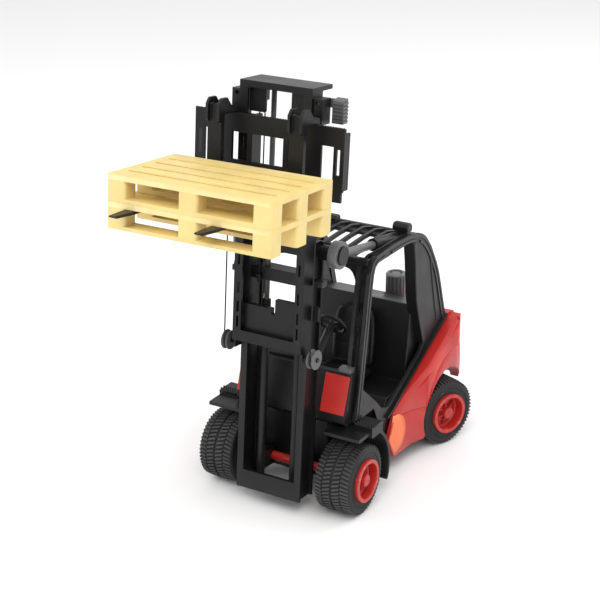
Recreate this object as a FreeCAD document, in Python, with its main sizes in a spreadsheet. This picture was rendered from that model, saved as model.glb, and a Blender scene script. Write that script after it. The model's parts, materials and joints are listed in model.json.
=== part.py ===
"""Toy counterbalance forklift: parametric model, millimetres, +Z up, -Y forward, +X the driver's left.

The truck is drawn about a point on the ground under its front axle.  The mast is drawn upright and
leans back about that axle, and each rear wheel is drawn straight and turns about its kingpin.
"""
import FreeCAD, Part
import math
import os
import re

import Sketcher
from FreeCAD import Placement, Rotation, Vector

SIZES = {
    # Whole truck
    "frame_shift": 14.45, "axle_height": 26.6, "wheelbase": 136.5, "mast_lean": 5.0,
    "steer_angle": 20.8, "fit_gap": 0.05, "part_gap": 0.3,
    # Wheels
    "tyre_radius": 26.6, "tyre_width": 28.5, "tyre_face": 63.5, "tyre_shoulder": 2.0,
    "rim_radius": 15.3, "rim_lip_radius": 15.9, "rim_lip": 2.5, "rim_wall": 1.5, "rim_web_depth": 5.5,
    "rim_web": 2.5, "rim_hole_radius": 2.1, "rim_hole_circle": 9.0, "hub_radius": 4.5, "hub_length": 13.0,
    "hub_cap": 1.6, "axle_radius": 1.5, "axle_end": 62.5, "housing_radius": 3.4, "housing_half": 34.0,
    # Chassis
    "floor_low": 14.0, "floor_top": 20.0, "nose_half": 31.0, "floor_half": 43.5, "tail_half": 22.0,
    "cheek_inner": 29.0, "cheek_outer": 33.0,
    # Rear axle and steering
    "kingpin_half": 48.0, "kingpin_radius": 2.0, "kingpin_face": 19.5, "knuckle_radius": 4.5,
    "fork_arm_half": 4.0, "fork_arm_thick": 3.3, "fork_arm_rise": 6.6, "beam_half": 8.0,
    "steer_arm": 18.0, "steer_trail": 6.0, "steer_pin": 1.0, "slot_half": 2.5, "bar_low": 28.6,
    "bar_thick": 2.5, "knob_y": 165.0, "knob_radius": 8.25, "knob_low": 98.9, "knob_top": 120.0,
    "knob_stem": 3.0, "pinion_pitch": 4.2, "tooth_height": 1.0, "tow_pin_radius": 2.0, "tow_pin_y": 178.5,
    # Body shell
    "cab_half": 50.0, "cab_inner": 46.0, "pillar_inner": 38.0, "roof_top": 183.0, "roof_low": 177.0,
    "weight_half": 50.0, "panel_outer": 60.0, "arch_radius": 33.5, "hood_half": 43.5,
    "fender_inner": 34.2, "fender_outer": 63.4, "fender_top": 62.7, "insert_low_x": 25.5,
    "insert_high_x": 45.0, "insert_thick": 1.2, "grille_bars": 7, "grille_half": 31.0, "bar_width": 2.6,
    # Seat, wheel and levers
    "seat_half": 19.0, "column_radius": 3.0, "column_lean": 52.0, "column_y": 26.0, "column_z": 84.0,
    "column_length": 46.0, "steering_wheel_radius": 12.0, "steering_wheel_rim": 1.4,
    # Outer mast
    "mast_front": -29.9, "mast_rear": -11.0, "mast_low": 10.0, "mast_top": 200.0, "mast_out": 26.6,
    "mast_in": 21.4, "mast_skin": 1.9, "web_in": 22.6, "web_out": 24.2, "eye_in": 14.0, "eye_out": 20.0,
    "barrel_x": 14.0, "barrel_y": -18.0, "barrel_radius": 3.2, "barrel_top": 152.0, "ram_radius": 1.9,
    "tie_front": -24.0, "tie_low": 168.0, "tie_high": 177.0, "head_low": 190.0, "head_high": 199.0,
    "foot_high": 24.0, "barrel_seat": 12.4, "eye_outside": 6.6, "anchor_x_near": 14.5, "anchor_x_far": 17.7,
    "rear_anchor": 172.0, "head_anchor": 172.0, "carriage_anchor": 240.0, "carriage_head_anchor": 286.0,
    "anchor_front": -25.2, "anchor_back": -22.6, "string_gap": 0.6, "join_overlap": 0.5,
    # Inner mast
    "inner_front": -39.7, "inner_rear": -25.7, "inner_out": 28.0, "inner_in": 21.5, "inner_low": 125.0,
    "inner_top": 308.6, "inner_skin": 2.0, "side_skin": 1.1, "rung_front": -35.4, "rung_rear": -31.4,
    "rung_low": 132.5, "rung_high": 152.0, "rung_crest": 159.0, "notch_in": 0.7, "notch_out": 3.6,
    "lug_front": -28.4, "head_plate_rear": -13.0, "lip_height": 4.6,
    "foot_top": 133.0, "head_foot": 285.0, "rail_top": 196.0, "slot_near": 23.4, "slot_far": 25.2,
    "pulley_x": 35.0, "pulley_y": -33.0, "pulley_z": 121.6, "pulley_radius": 7.0, "pulley_width": 5.0,
    "groove_radius": 5.2, "pulley_pin": 1.5, "top_pulley_x": 16.5, "top_pulley_y": -28.5,
    "top_pulley_z": 297.0, "top_pulley_radius": 4.0, "top_groove_radius": 2.8, "string_radius": 0.5,
    "top_pin": 1.0, "lever_pin": 1.5, "lever_x": 31.2, "lever_z": 299.0, "pad_near": 38.0,
    # Carriage and forks
    "plate_front": -47.5, "plate_rear": -45.3, "plate_half": 58.0, "plate_low": 238.0, "plate_top": 287.5,
    "bar_foot": 274.5, "comb_depth": 1.0,
    "guide_in": 12.0, "guide_out": 16.0, "lip_out": 25.2, "fork_x": 31.5, "fork_half": 5.5,
    "blade_half": 3.8, "fork_tip": -174.3, "shank_front": -64.0, "shank_rear": -60.0, "hook_front": -66.9,
    "hook_top": 298.5, "load_z": 240.0, "blade_thick": 4.0,
    # Tilt rods
    "eye_x": 38.0, "eye_y": -11.9, "eye_z": 192.2, "eye_radius": 9.7, "eye_width": 6.5, "boss_radius": 5.4,
    "eye_gap": 0.45, "tilt_rod_radius": 3.0, "socket_radius": 4.6, "socket_y": 84.0, "socket_z": 179.6,
    "socket_length": 36.0, "trunnion_radius": 1.8,
    # Pallets
    "pallet_x": 9.2, "pallet_front": -154.6, "pallet_turn": 1.6, "pallet_length": 119.5,
    "pallet_depth": 76.0, "pallet_height": 17.4, "deck_thick": 3.5, "skid_thick": 2.6, "block_length": 14.0,
    "block_depth": 13.0, "deck_groove": 2.2, "groove_depth": 2.0, "groove_end": 6.0,
}

doc = FreeCAD.newDocument("ToyForklift")
sheet = doc.addObject("Spreadsheet::Sheet", "Sizes")
for row, (alias, number) in enumerate(SIZES.items(), 1):
    sheet.set(f"A{row}", alias)
    sheet.set(f"B{row}", str(number))
    sheet.setAlias(f"B{row}", alias)
doc.recompute()

PLANE_NORMALS = {"YZ_Plane": 1, "XZ_Plane": -1, "XY_Plane": 1}
TURNS = {"X": Rotation(Vector(0, 0, 1), Vector(1, 0, 0)), "Y": Rotation(Vector(0, 0, 1), Vector(0, 1, 0)),
         "Z": Rotation()}
subparts = []


def bound(text):
    """Turn the sheet's names in a formula into references to its cells."""
    return re.sub(r"[a-z_]{3,}", lambda word: "Sizes." + word[0] if word[0] in SIZES else word[0], str(text))


def value(text):
    """The number that a formula of the sheet's names gives."""
    return float(sheet.evalExpression(bound(text)))


def box(x, y, z):
    """A block that spans a (low, high) pair along each axis."""
    block = doc.addObject("Part::Box", "Block")
    for prop, axis, (low, high) in zip(("Length", "Width", "Height"), "xyz", (x, y, z)):
        block.setExpression(prop, bound(f"({high}) - ({low})"))
        block.setExpression("Placement.Base." + axis, bound(low))
    return block


def rod(axis, radius, low, high, first, second):
    """A cylinder from low to high along an axis; first and second are its other two coordinates."""
    bar = doc.addObject("Part::Cylinder", "Rod")
    bar.Placement = Placement(Vector(), TURNS[axis])
    bar.setExpression("Radius", bound(radius))
    bar.setExpression("Height", bound(f"({high}) - ({low})"))
    places = {"X": (low, first, second), "Y": (first, low, second), "Z": (first, second, low)}[axis]
    for name, place in zip("xyz", places):
        bar.setExpression("Placement.Base." + name, bound(place))
    return bar


def fuse(*shapes):
    """One solid made of several."""
    joined = doc.addObject("Part::MultiFuse", "Joined")
    joined.Shapes = list(shapes)
    joined.Refine = True
    return joined


def cut(base, *tools):
    """A solid with others taken away."""
    carved = doc.addObject("Part::Cut", "Carved")
    carved.Base = base
    carved.Tool = tools[0] if len(tools) == 1 else fuse(*tools)
    return carved


def common(first, second):
    """What two solids share."""
    shared = doc.addObject("Part::Common", "Shared")
    shared.Base = first
    shared.Tool = second
    return shared


def group(*solids):
    """Separate solids kept together in one sub-part."""
    kept = doc.addObject("Part::Compound", "Set")
    kept.Links = list(solids)
    return kept


def origin_plane(body, role):
    """The body's own origin plane with this role."""
    return next(item for item in body.Origin.OriginFeatures if item.Role == role)


def draw_loop(sketch, points):
    """Draw one closed loop whose corners are bound to the sheet.

    A point is (across, up) or (across, up, radius): a radius makes the edge to the next point an arc,
    turning left for a positive radius and right for a negative one.
    """
    corners = [(value(point[0]), value(point[1])) for point in points]
    edges = []
    for index, point in enumerate(points):
        start, end = corners[index], corners[(index + 1) % len(points)]
        if len(point) == 2:
            edges.append((sketch.addGeometry(Part.LineSegment(Vector(*start, 0), Vector(*end, 0))), 1, 2))
            continue
        radius = value(point[2])
        half = Vector(end[0] - start[0], end[1] - start[1], 0) * 0.5
        rise = math.sqrt(max(0, radius * radius - half.Length ** 2)) * math.copysign(1, radius)
        side = Vector(-half.y, half.x, 0).normalize()
        centre = Vector(*start, 0) + half + side * rise
        first, last = (start, end) if radius > 0 else (end, start)
        angles = [math.atan2(spot[1] - centre.y, spot[0] - centre.x) for spot in (first, last)]
        circle = Part.Circle(centre, Vector(0, 0, 1), abs(radius))
        edge = sketch.addGeometry(Part.ArcOfCircle(circle, angles[0], angles[1]))
        rule = sketch.addConstraint(Sketcher.Constraint("Radius", edge, abs(radius)))
        sketch.setExpression(f"Constraints[{rule}]", bound(f"abs({point[2]})"))
        edges.append((edge, 1, 2) if radius > 0 else (edge, 2, 1))
    for index, (edge, start, end) in enumerate(edges):
        following = edges[(index + 1) % len(edges)]
        sketch.addConstraint(Sketcher.Constraint("Coincident", edge, end, following[0], following[1]))
        for kind, place, number in zip(("DistanceX", "DistanceY"), points[index], corners[index]):
            rule = sketch.addConstraint(Sketcher.Constraint(kind, -1, 1, edge, start, number))
            sketch.setExpression(f"Constraints[{rule}]", bound(place))


def prism(plane, low, high, *loops):
    """A body padded from low to high along a plane's axis; loops after the first are holes in it."""
    body = doc.addObject("PartDesign::Body", "Prism")
    sketch = body.newObject("Sketcher::SketchObject", "Outline")
    sketch.AttachmentSupport = (origin_plane(body, plane), [""])
    sketch.MapMode = "FlatFace"
    face, back = (low, high) if PLANE_NORMALS[plane] > 0 else (f"-({high})", f"-({low})")
    sketch.setExpression("AttachmentOffset.Base.z", bound(face))
    for loop in loops:
        draw_loop(sketch, loop)
    pad = body.newObject("PartDesign::Pad", "Pad")
    pad.Profile = sketch
    pad.setExpression("Length", bound(f"({back}) - ({face})"))
    sketch.Visibility = False
    return body


def turned(points, axis="Z"):
    """A body turned about an axis from an outline of (radius, along) points."""
    body = doc.addObject("PartDesign::Body", "Turned")
    sketch = body.newObject("Sketcher::SketchObject", "Outline")
    sketch.AttachmentSupport = (origin_plane(body, "XZ_Plane"), [""])
    sketch.MapMode = "FlatFace"
    draw_loop(sketch, points)
    spin = body.newObject("PartDesign::Revolution", "Turn")
    spin.Profile = sketch
    spin.ReferenceAxis = (sketch, ["V_Axis"])
    spin.Angle = 360
    body.Placement = Placement(Vector(), TURNS[axis])
    return body


def moved(shape, placement):
    """The same solid at another place."""
    holder = group(shape)
    holder.Placement = placement
    return holder


def keep(label, shape, placement):
    """Name a finished sub-part and put it at its place in the truck."""
    whole = group(shape) if shape.TypeId in ("Part::Box", "Part::Cylinder", "Part::Torus") else shape
    whole.Placement = placement.multiply(whole.Placement)
    whole.Label = label
    subparts.append(whole)


def side_span(side, low, high):
    """A (low, high) pair across the truck, on the left for side 1 and mirrored for side -1."""
    return (low, high) if side > 0 else (f"-({high})", f"-({low})")


def on_side(side, place):
    """A place across the truck, on the left for side 1 and mirrored for side -1."""
    return place if side > 0 else f"-({place})"


SIDES = {"left": 1, "right": -1}
truck = Placement(Vector(0, -value("frame_shift"), 0), Rotation())
axle_centre = Vector(0, 0, value("axle_height"))
lean = Rotation(Vector(1, 0, 0), -value("mast_lean"))
mast = truck * Placement(axle_centre, lean) * Placement(-axle_centre, Rotation())


def kingpin_frame(side):
    """The steered frame of one rear wheel, with its own X axis pointing out of the truck."""
    centre = Vector(side * value("kingpin_half"), value("wheelbase"), value("axle_height"))
    flip = Rotation(Vector(0, 0, 1), 0 if side > 0 else 180)
    turn = Rotation(Vector(0, 0, 1), -value("steer_angle"))
    return truck * Placement(centre, turn * flip)


def wheel_frame(side, rear):
    """The frame at the middle of a tyre's outer face, with its Z axis pointing out of the truck."""
    if rear:
        return kingpin_frame(side) * Placement(Vector(value("kingpin_face"), 0, 0), TURNS["X"])
    outward = Rotation(Vector(0, 0, 1), Vector(side, 0, 0))
    return truck * Placement(Vector(side * value("tyre_face"), 0, value("axle_height")), outward)


# ---------------------------------------------------------------- wheels

def make_rim():
    """A dished rim with an open inner barrel, a blind hub and a ring of round holes."""
    barrel = "rim_radius - rim_wall"
    disc = turned([
        (0, 0), ("axle_radius + fit_gap", 0), ("axle_radius + fit_gap", "-hub_length"),
        ("hub_radius", "-hub_length"), ("hub_radius", "-rim_web_depth - rim_web"),
        (barrel, "-rim_web_depth - rim_web"), (barrel, "-tyre_width"), ("rim_radius", "-tyre_width"),
        ("rim_radius", "fit_gap"), ("rim_lip_radius", "fit_gap"), ("rim_lip_radius", "rim_lip"),
        ("rim_lip_radius - 2.6", "rim_lip"), ("rim_lip_radius - 3.3", "-rim_web_depth"),
        ("hub_radius", "-rim_web_depth"), ("hub_radius", "hub_cap - 0.6"), (0, "hub_cap"),
    ])
    holes = []
    for step in range(6):
        angle = step * 60
        holes.append(rod("Z", "rim_hole_radius", "-rim_web_depth - rim_web - 1", "1 - rim_web_depth",
                         f"rim_hole_circle * cos({angle})", f"rim_hole_circle * sin({angle})"))
    return cut(disc, *holes)


def make_tyre():
    """A wide tyre with rounded shoulders."""
    bore = "rim_radius + fit_gap"
    return turned([
        (bore, -1), ("rim_radius + 1.6", 0),
        ("tyre_radius - 4", "-0.3"), ("tyre_radius - 1.2", "-tyre_shoulder"),
        ("tyre_radius", "-2 * tyre_shoulder"), ("tyre_radius", "2 * tyre_shoulder - tyre_width"),
        ("tyre_radius - 1.2", "tyre_shoulder - tyre_width"), ("tyre_radius - 4", "0.3 - tyre_width"),
        ("rim_radius + 1.6", "-tyre_width"), (bore, "1 - tyre_width"),
    ])


for end, is_rear in (("front", False), ("rear", True)):
    for name, side in SIDES.items():
        keep(f"tyre_{end}_{name}", make_tyre(), wheel_frame(side, is_rear))
        keep(f"rim_{end}_{name}", make_rim(), wheel_frame(side, is_rear))


# ---------------------------------------------------------------- chassis and front axle

def make_chassis():
    """The floor pan, with a cheek on each side that carries the front axle."""
    pan = [
        box(("-nose_half", "nose_half"), (9, 42), ("floor_low", "floor_top")),
        box(("-floor_half", "floor_half"), (40, 100), ("floor_low", "floor_top")),
        box(("-tail_half", "tail_half"), (98, "wheelbase - beam_half"), ("floor_low", "floor_top")),
    ]
    for side in SIDES.values():
        cheek = prism("YZ_Plane", *side_span(side, "cheek_inner", "cheek_outer"),
                      [(-5, 21), (12, "floor_low"), (16, "floor_low"), (16, 36), (-5, 32)])
        pan.append(cheek)
        pan.append(box(side_span(side, "cheek_inner - 1", "cheek_outer"), (9, 16),
                       ("floor_low", "floor_top")))
    bore = rod("X", "housing_radius + 0.02", "-housing_half - 1", "housing_half + 1", 0, "axle_height")
    return cut(fuse(*pan), bore)


keep("chassis_frame", make_chassis(), truck)
tube = rod("X", "housing_radius", "-housing_half", "housing_half", 0, "axle_height")
tube_bore = rod("X", "axle_radius + fit_gap", "-housing_half - 1", "housing_half + 1", 0, "axle_height")
keep("front_axle_tube", cut(tube, tube_bore), truck)
keep("front_axle_rod", rod("X", "axle_radius", "-axle_end", "axle_end", 0, "axle_height"), truck)


# ---------------------------------------------------------------- rear axle and steering

def make_rear_beam():
    """A centre block with a forked arm at each end that holds a kingpin inside the wheel."""
    block = box(("-tail_half", "tail_half"), ("wheelbase - beam_half", "wheelbase + beam_half"), (16, 38))
    upper = ("axle_height + fork_arm_rise", "axle_height + fork_arm_rise + fork_arm_thick")
    lower = ("axle_height - fork_arm_rise - fork_arm_thick", "axle_height - fork_arm_rise")
    pieces = [block]
    holes = []
    for side in SIDES.values():
        for rise in (upper, lower):
            pieces.append(box(side_span(side, "tail_half - 1", "kingpin_half + fork_arm_half"),
                              ("wheelbase - fork_arm_half", "wheelbase + fork_arm_half"), rise))
        holes.append(rod("Z", "kingpin_radius + fit_gap", 10, 45, on_side(side, "kingpin_half"), "wheelbase"))
    return cut(fuse(*pieces), *holes)


def make_knuckle(side):
    """A kingpin, its block, a stub axle pointing outward and a steering arm with an upright pin."""
    reach = "fork_arm_rise + fork_arm_thick - 0.1"
    pin = rod("Z", "kingpin_radius", f"-({reach})", reach, 0, 0)
    block = rod("Z", "knuckle_radius", "part_gap - fork_arm_rise", "fork_arm_rise - part_gap", 0, 0)
    stub = rod("X", "axle_radius", 3, "kingpin_face - 1", 0, 0)
    trail = on_side(side, "steer_trail")
    arm = prism("XY_Plane", "-1.6", "1.6", [
        (0, -2.2), (0, 2.2), ("-steer_arm - 1", f"{trail} + 2"), ("-steer_arm - 1", f"{trail} - 2")])
    upright = rod("Z", "steer_pin", 0, "bar_low + bar_thick - axle_height + 1", "-steer_arm", trail)
    return fuse(pin, block, stub, arm, upright)


def make_tie_bar():
    """A bar joining two slotted plates, with a toothed tab on its back."""
    floor = ("bar_low", "bar_low + bar_thick")
    front = "wheelbase - 3.4"
    back = "wheelbase + 15"
    pieces = [box((-33, 33), ("wheelbase + 10.6", back), floor)]
    holes = []
    for side in SIDES.values():
        pin_x = "kingpin_half - steer_arm"
        pieces.append(box(side_span(side, f"{pin_x} - 3.9", f"{pin_x} + 3.9"), (front, back), floor))
        holes.append(box(side_span(side, f"{pin_x} - slot_half", f"{pin_x} + slot_half"),
                         (f"{front} + 1", f"{back} - 1"), ("bar_low - 1", "bar_low + bar_thick + 1")))
    pieces.append(box((-6, 6), (f"{back} - 1", "knob_y - pinion_pitch - tooth_height * 0.6"), floor))
    for tooth in range(-2, 3):
        centre = f"{tooth} * pinion_pitch * 2 * pi / 10"
        pieces.append(box((f"{centre} - 0.55", f"{centre} + 0.55"), (back, "knob_y - pinion_pitch + 0.3"),
                          floor))
    return cut(fuse(*pieces), *holes)


def make_pinion():
    """A small ten-toothed gear on the steering stem."""
    wheel = rod("Z", "pinion_pitch - 1", "bar_low - 0.4", "bar_low + bar_thick + 0.4", 0, 0)
    teeth = []
    for tooth in range(10):
        block = box(("pinion_pitch - 1.6", "pinion_pitch + 0.4"), (-0.45, 0.45),
                    ("bar_low - 0.4", "bar_low + bar_thick + 0.4"))
        teeth.append(moved(block, Placement(Vector(), Rotation(Vector(0, 0, 1), tooth * 36))))
    bore = rod("Z", "knob_stem - 1", 20, 40, 0, 0)
    return cut(fuse(wheel, *teeth), bore)


def make_knob():
    """A fluted hand knob with a ringed top, on a stem that goes down to the pinion."""
    grip = turned([(0, "knob_low"), ("knob_radius - 0.5", "knob_low"), ("knob_radius", "knob_low + 0.6"),
                   ("knob_radius", "knob_top - 1.2"), ("knob_radius - 1", "knob_top"), (5.2, "knob_top"),
                   (5.2, "knob_top - 1.6"), (3.6, "knob_top - 1.6"), (3.6, "knob_top - 0.4"),
                   (0, "knob_top - 0.4")])
    flutes = []
    for step in range(16):
        angle = step * 22.5
        flutes.append(rod("Z", 0.7, "knob_low - 1", "knob_top - 2.4", f"(knob_radius + 0.2) * cos({angle})",
                          f"(knob_radius + 0.2) * sin({angle})"))
    stem = rod("Z", "knob_stem", "bar_low + bar_thick + 0.4", "knob_low", 0, 0)
    spigot = rod("Z", "knob_stem - 1.04", "bar_low - 0.4", "bar_low + bar_thick + 0.6", 0, 0)
    return fuse(cut(grip, *flutes), stem, spigot)


steer_slide = value("steer_trail") * math.radians(value("steer_angle"))
knob_turn = math.degrees(steer_slide / value("pinion_pitch"))
knob_frame = truck * Placement(Vector(0, value("knob_y"), 0), Rotation(Vector(0, 0, 1), knob_turn))
keep("rear_axle_beam", make_rear_beam(), truck)
for name, side in SIDES.items():
    keep(f"knuckle_{name}", make_knuckle(side), kingpin_frame(side))
keep("tie_bar", make_tie_bar(), truck * Placement(Vector(steer_slide, 0, 0), Rotation()))
keep("steering_pinion", make_pinion(), knob_frame)
keep("steering_knob", make_knob(), knob_frame)
tow_pin = fuse(rod("Z", "tow_pin_radius", 23, 42, 0, "tow_pin_y"),
               rod("Z", "tow_pin_radius + 1.4", 40.4, 43.4, 0, "tow_pin_y"))
keep("tow_pin", tow_pin, truck)


# ---------------------------------------------------------------- body shell

def make_counterweight():
    """The heavy tail: a block with rounded rear corners, wheel arches and a jaw for the tow pin."""
    side_view = prism("YZ_Plane", "-weight_half", "weight_half", [
        (112, 38), (112, 61.8), (154.8, 61.8), (154.8, 98), (163, 98.6), (174, 94), (177, 88),
        (177, 76), (184, 60), (184, 22), (171, 22), (171, 38)])
    plan = prism("XY_Plane", 20, 100, [
        (-50, 108), (50, 108), (50, 165, 20), (30, 185), (-30, 185, 20), (-50, 165)])
    arches = [rod("X", "arch_radius", *side_span(side, 25, 62), "wheelbase", "axle_height")
              for side in SIDES.values()]
    low_rear = [box(side_span(side, 24, 52), (160, 190), (20, 46)) for side in SIDES.values()]
    jaw = box((-7, 7), (173, 190), (28, 34))
    notch = box((-7, 7), (173, 190), (40, 60))
    pin_bore = rod("Z", "tow_pin_radius + fit_gap", 20, 45, 0, "tow_pin_y")
    stem_bore = rod("Z", "knob_stem + 0.08", 30, 100, 0, "knob_y")
    return cut(common(side_view, plan), *arches, *low_rear, jaw, notch, pin_bore, stem_bore)


def make_side_panel(side):
    """A red side panel that rises from the sill and swells out round the rear wheel arch."""
    side_view = prism("YZ_Plane", *side_span(side, "cab_half + 0.1", "panel_outer"), [
        (154, 95.5), (125, 81), (93, 64.5), (64, 49.5), (55, 31), (64, 14), (103, 14), (120, 30),
        (165, 40), (176, 46), (179, 60), (172, 74), (172, 89), (164, 97)])
    plan_points = [(50, 50), (52.6, 50), (54.5, 90), (59.5, 106), (60, 120), (60, 150, 30), (50, 176)]
    if side < 0:
        plan_points = [(-across, along, -point[0]) if point else (-across, along)
                       for across, along, *point in plan_points]
    plan = prism("XY_Plane", 10, 100, plan_points)
    arch = rod("X", "arch_radius", *side_span(side, "cab_half - 1", "panel_outer + 1"), "wheelbase",
               "axle_height")
    return cut(common(side_view, plan), arch)


def make_cab_frame():
    """The overhead guard: two side arches with wide front pillars, joined across the roof."""
    outer = [(9.5, 64), (15.5, 96), (29.5, 181), (33, 182), (72, "roof_top"), (90, "roof_top"),
             (113, 178.5), (126, 164), (137, 147), (146, 121), (154.5, 95.8), (125, 81.2), (93, 64.7),
             (64, 49.7), (54.8, 31), (54.8, 22), (46, 22), (44, 52), (38, 64)]
    opening = [(21, 100), (33.5, 172), (38, 176.5), (93, "roof_low"), (98.5, 172), (103.5, 127),
               (118, 86), (90, 69), (60, 56), (50, 60), (40, 70), (19, 88)]
    pieces = []
    holes = []
    for side in SIDES.values():
        pieces.append(prism("YZ_Plane", *side_span(side, "cab_inner", "cab_half"), outer, opening))
        pieces.append(prism("YZ_Plane", *side_span(side, "pillar_inner", "cab_inner + 0.5"), [
            (14.2, 90), (29.5, 181), (35, 181), (33.8, 172), (20, 90)]))
        holes.append(rod("X", "trunnion_radius + fit_gap", *side_span(side, "cab_inner - 1", 48.6),
                         "socket_y", "socket_z"))
    pieces.append(box(("-cab_inner - 0.5", "cab_inner + 0.5"), (29.6, 35), ("roof_low", 181)))
    pieces.append(box(("-cab_inner - 0.5", "cab_inner + 0.5"), (104, 110), (173.5, 179)))
    return cut(fuse(*pieces), *holes)


def make_roof_grille():
    """Fore-and-aft roof bars with open gaps, tied by two cross rails."""
    pieces = [box(("-grille_half", "grille_half"), (along, along + 3), (178, 180.4)) for along in (50, 84)]
    for index in range(int(value("grille_bars"))):
        centre = f"({index} / (grille_bars - 1) * 2 - 1) * (grille_half - bar_width / 2)"
        pieces.append(prism("YZ_Plane", f"{centre} - bar_width / 2", f"{centre} + bar_width / 2", [
            (35.1, 177.6), (35.1, 181), (72, 182.6), (90, 182.6), (103.9, 178.8), (103.9, 175.4),
            (90, 179.4), (72, 179.6)]))
    return fuse(*pieces)


def make_cowl():
    """The front bulkhead: a lower wall between the wheels and a leaning upper wall."""
    upper = prism("YZ_Plane", "-cab_inner + 0.1", "cab_inner - 0.1", [
        (3, 62.9), (0, 66), (0, 71), (10, 101), (14, 101), (14, 62.9)])
    lower = box(("-cheek_inner + 1", "cheek_inner - 1"), (7, 13), ("floor_top", 64))
    return fuse(upper, lower)


def make_cowl_inserts():
    """Two flat red panels on the leaning wall of the cowl."""
    panels = []
    for side in SIDES.values():
        panels.append(prism("YZ_Plane", *side_span(side, "insert_low_x", "insert_high_x"), [
            (0.5, 72.5), (9.5, 99.5), ("9.5 - insert_thick * 0.949", "99.5 + insert_thick * 0.316"),
            ("0.5 - insert_thick * 0.949", "72.5 + insert_thick * 0.316")]))
    return group(*panels)


def make_fender(side):
    """A front fender: a flat top with a raised step, curving down behind the wheel."""
    shell = prism("YZ_Plane", *side_span(side, "fender_inner", "fender_outer"), [
        (-10.4, 60), (12, 60, -35.7), (32.8, 12), (35.2, 12, 38.3), (13, "fender_top"),
        (-10.4, "fender_top")])
    step = box(side_span(side, 50.3, "fender_outer + 1.6"), (6, 22), (57, 65.4))
    wheel_room = rod("X", "tyre_radius + 5", *side_span(side, 30, 70), 0, "axle_height")
    return cut(fuse(shell, step), wheel_room)


def make_engine_cover():
    """The seat plinth and the raised hood behind it."""
    return prism("YZ_Plane", "-hood_half", "hood_half", [
        (62, 20), (66, 52), (70, 58), (98, 60), (106.5, 121), (148, 109), (152.2, 98), (152.2, 62),
        (102, 62), (102, 20)])


keep("counterweight", make_counterweight(), truck)
for name, side in SIDES.items():
    keep(f"side_panel_{name}", make_side_panel(side), truck)
    keep(f"fender_{name}", make_fender(side), truck)
keep("cab_frame", make_cab_frame(), truck)
keep("roof_grille", make_roof_grille(), truck)
lamps = [box(side_span(side, 34, 46), (91, 99), ("roof_top", 189.6)) for side in SIDES.values()]
keep("work_lights", group(*lamps), truck)
keep("front_cowl", make_cowl(), truck)
keep("cowl_inserts", make_cowl_inserts(), truck)
keep("engine_cover", make_engine_cover(), truck)


# ---------------------------------------------------------------- cab interior

column_frame = truck * Placement(Vector(0, value("column_y"), value("column_z")),
                                 Rotation(Vector(1, 0, 0), -value("column_lean")))


def make_steering_wheel():
    """A ring with three spokes and a hub that turns on the end of the column."""
    ring = doc.addObject("Part::Torus", "Ring")
    ring.setExpression("Radius1", bound("steering_wheel_radius - steering_wheel_rim"))
    ring.setExpression("Radius2", bound("steering_wheel_rim"))
    ring.setExpression("Placement.Base.z", bound("column_length"))
    pieces = [ring, rod("Z", 3, "column_length - 1.6", "column_length + 1.4", 0, 0)]
    for angle in (90, 210, 330):
        spoke = box((0, "steering_wheel_radius - steering_wheel_rim"), (-1.1, 1.1),
                    ("column_length - 0.9", "column_length + 0.7"))
        pieces.append(moved(spoke, Placement(Vector(), Rotation(Vector(0, 0, 1), angle))))
    bore = rod("Z", 1.55, "column_length - 3", "column_length + 0.4", 0, 0)
    return cut(fuse(*pieces), bore)


cushion = prism("YZ_Plane", "-seat_half", "seat_half", [
    (70.2, 60.6), (96, 61.6), (96, 68), (90, 69), (74, 70), (69, 67.5)])
backrest = prism("YZ_Plane", "1 - seat_half", "seat_half - 1", [
    (91, 69.4), (97.4, 68.4), (103.2, 104), (102.4, 113), (97, 113), (95.4, 104)])
keep("seat_cushion", cushion, truck)
keep("seat_backrest", backrest, truck)
dash = prism("YZ_Plane", -34, 34, [(14.2, 66), (14.2, 98), (20, 98), (27, 90), (24, 66)])
keep("dashboard", cut(dash, moved(rod("Z", "column_radius + 0.05", -6, 20, 0, 0),
                                  Placement(truck.Base * -1, Rotation()) * column_frame)), truck)
column = fuse(rod("Z", "column_radius", -5, "column_length - 2", 0, 0),
              rod("Z", 1.5, "column_length - 3", "column_length + 0.3", 0, 0))
keep("steering_column", column, column_frame)
keep("steering_wheel", make_steering_wheel(), column_frame)
levers = [fuse(rod("Z", 0.9, 92, 109, across, 23), rod("Z", 1.7, 106, 111, across, 23))
          for across in (-16, -21, -26)]
keep("control_levers", group(*levers), truck)


# ---------------------------------------------------------------- outer mast

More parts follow.
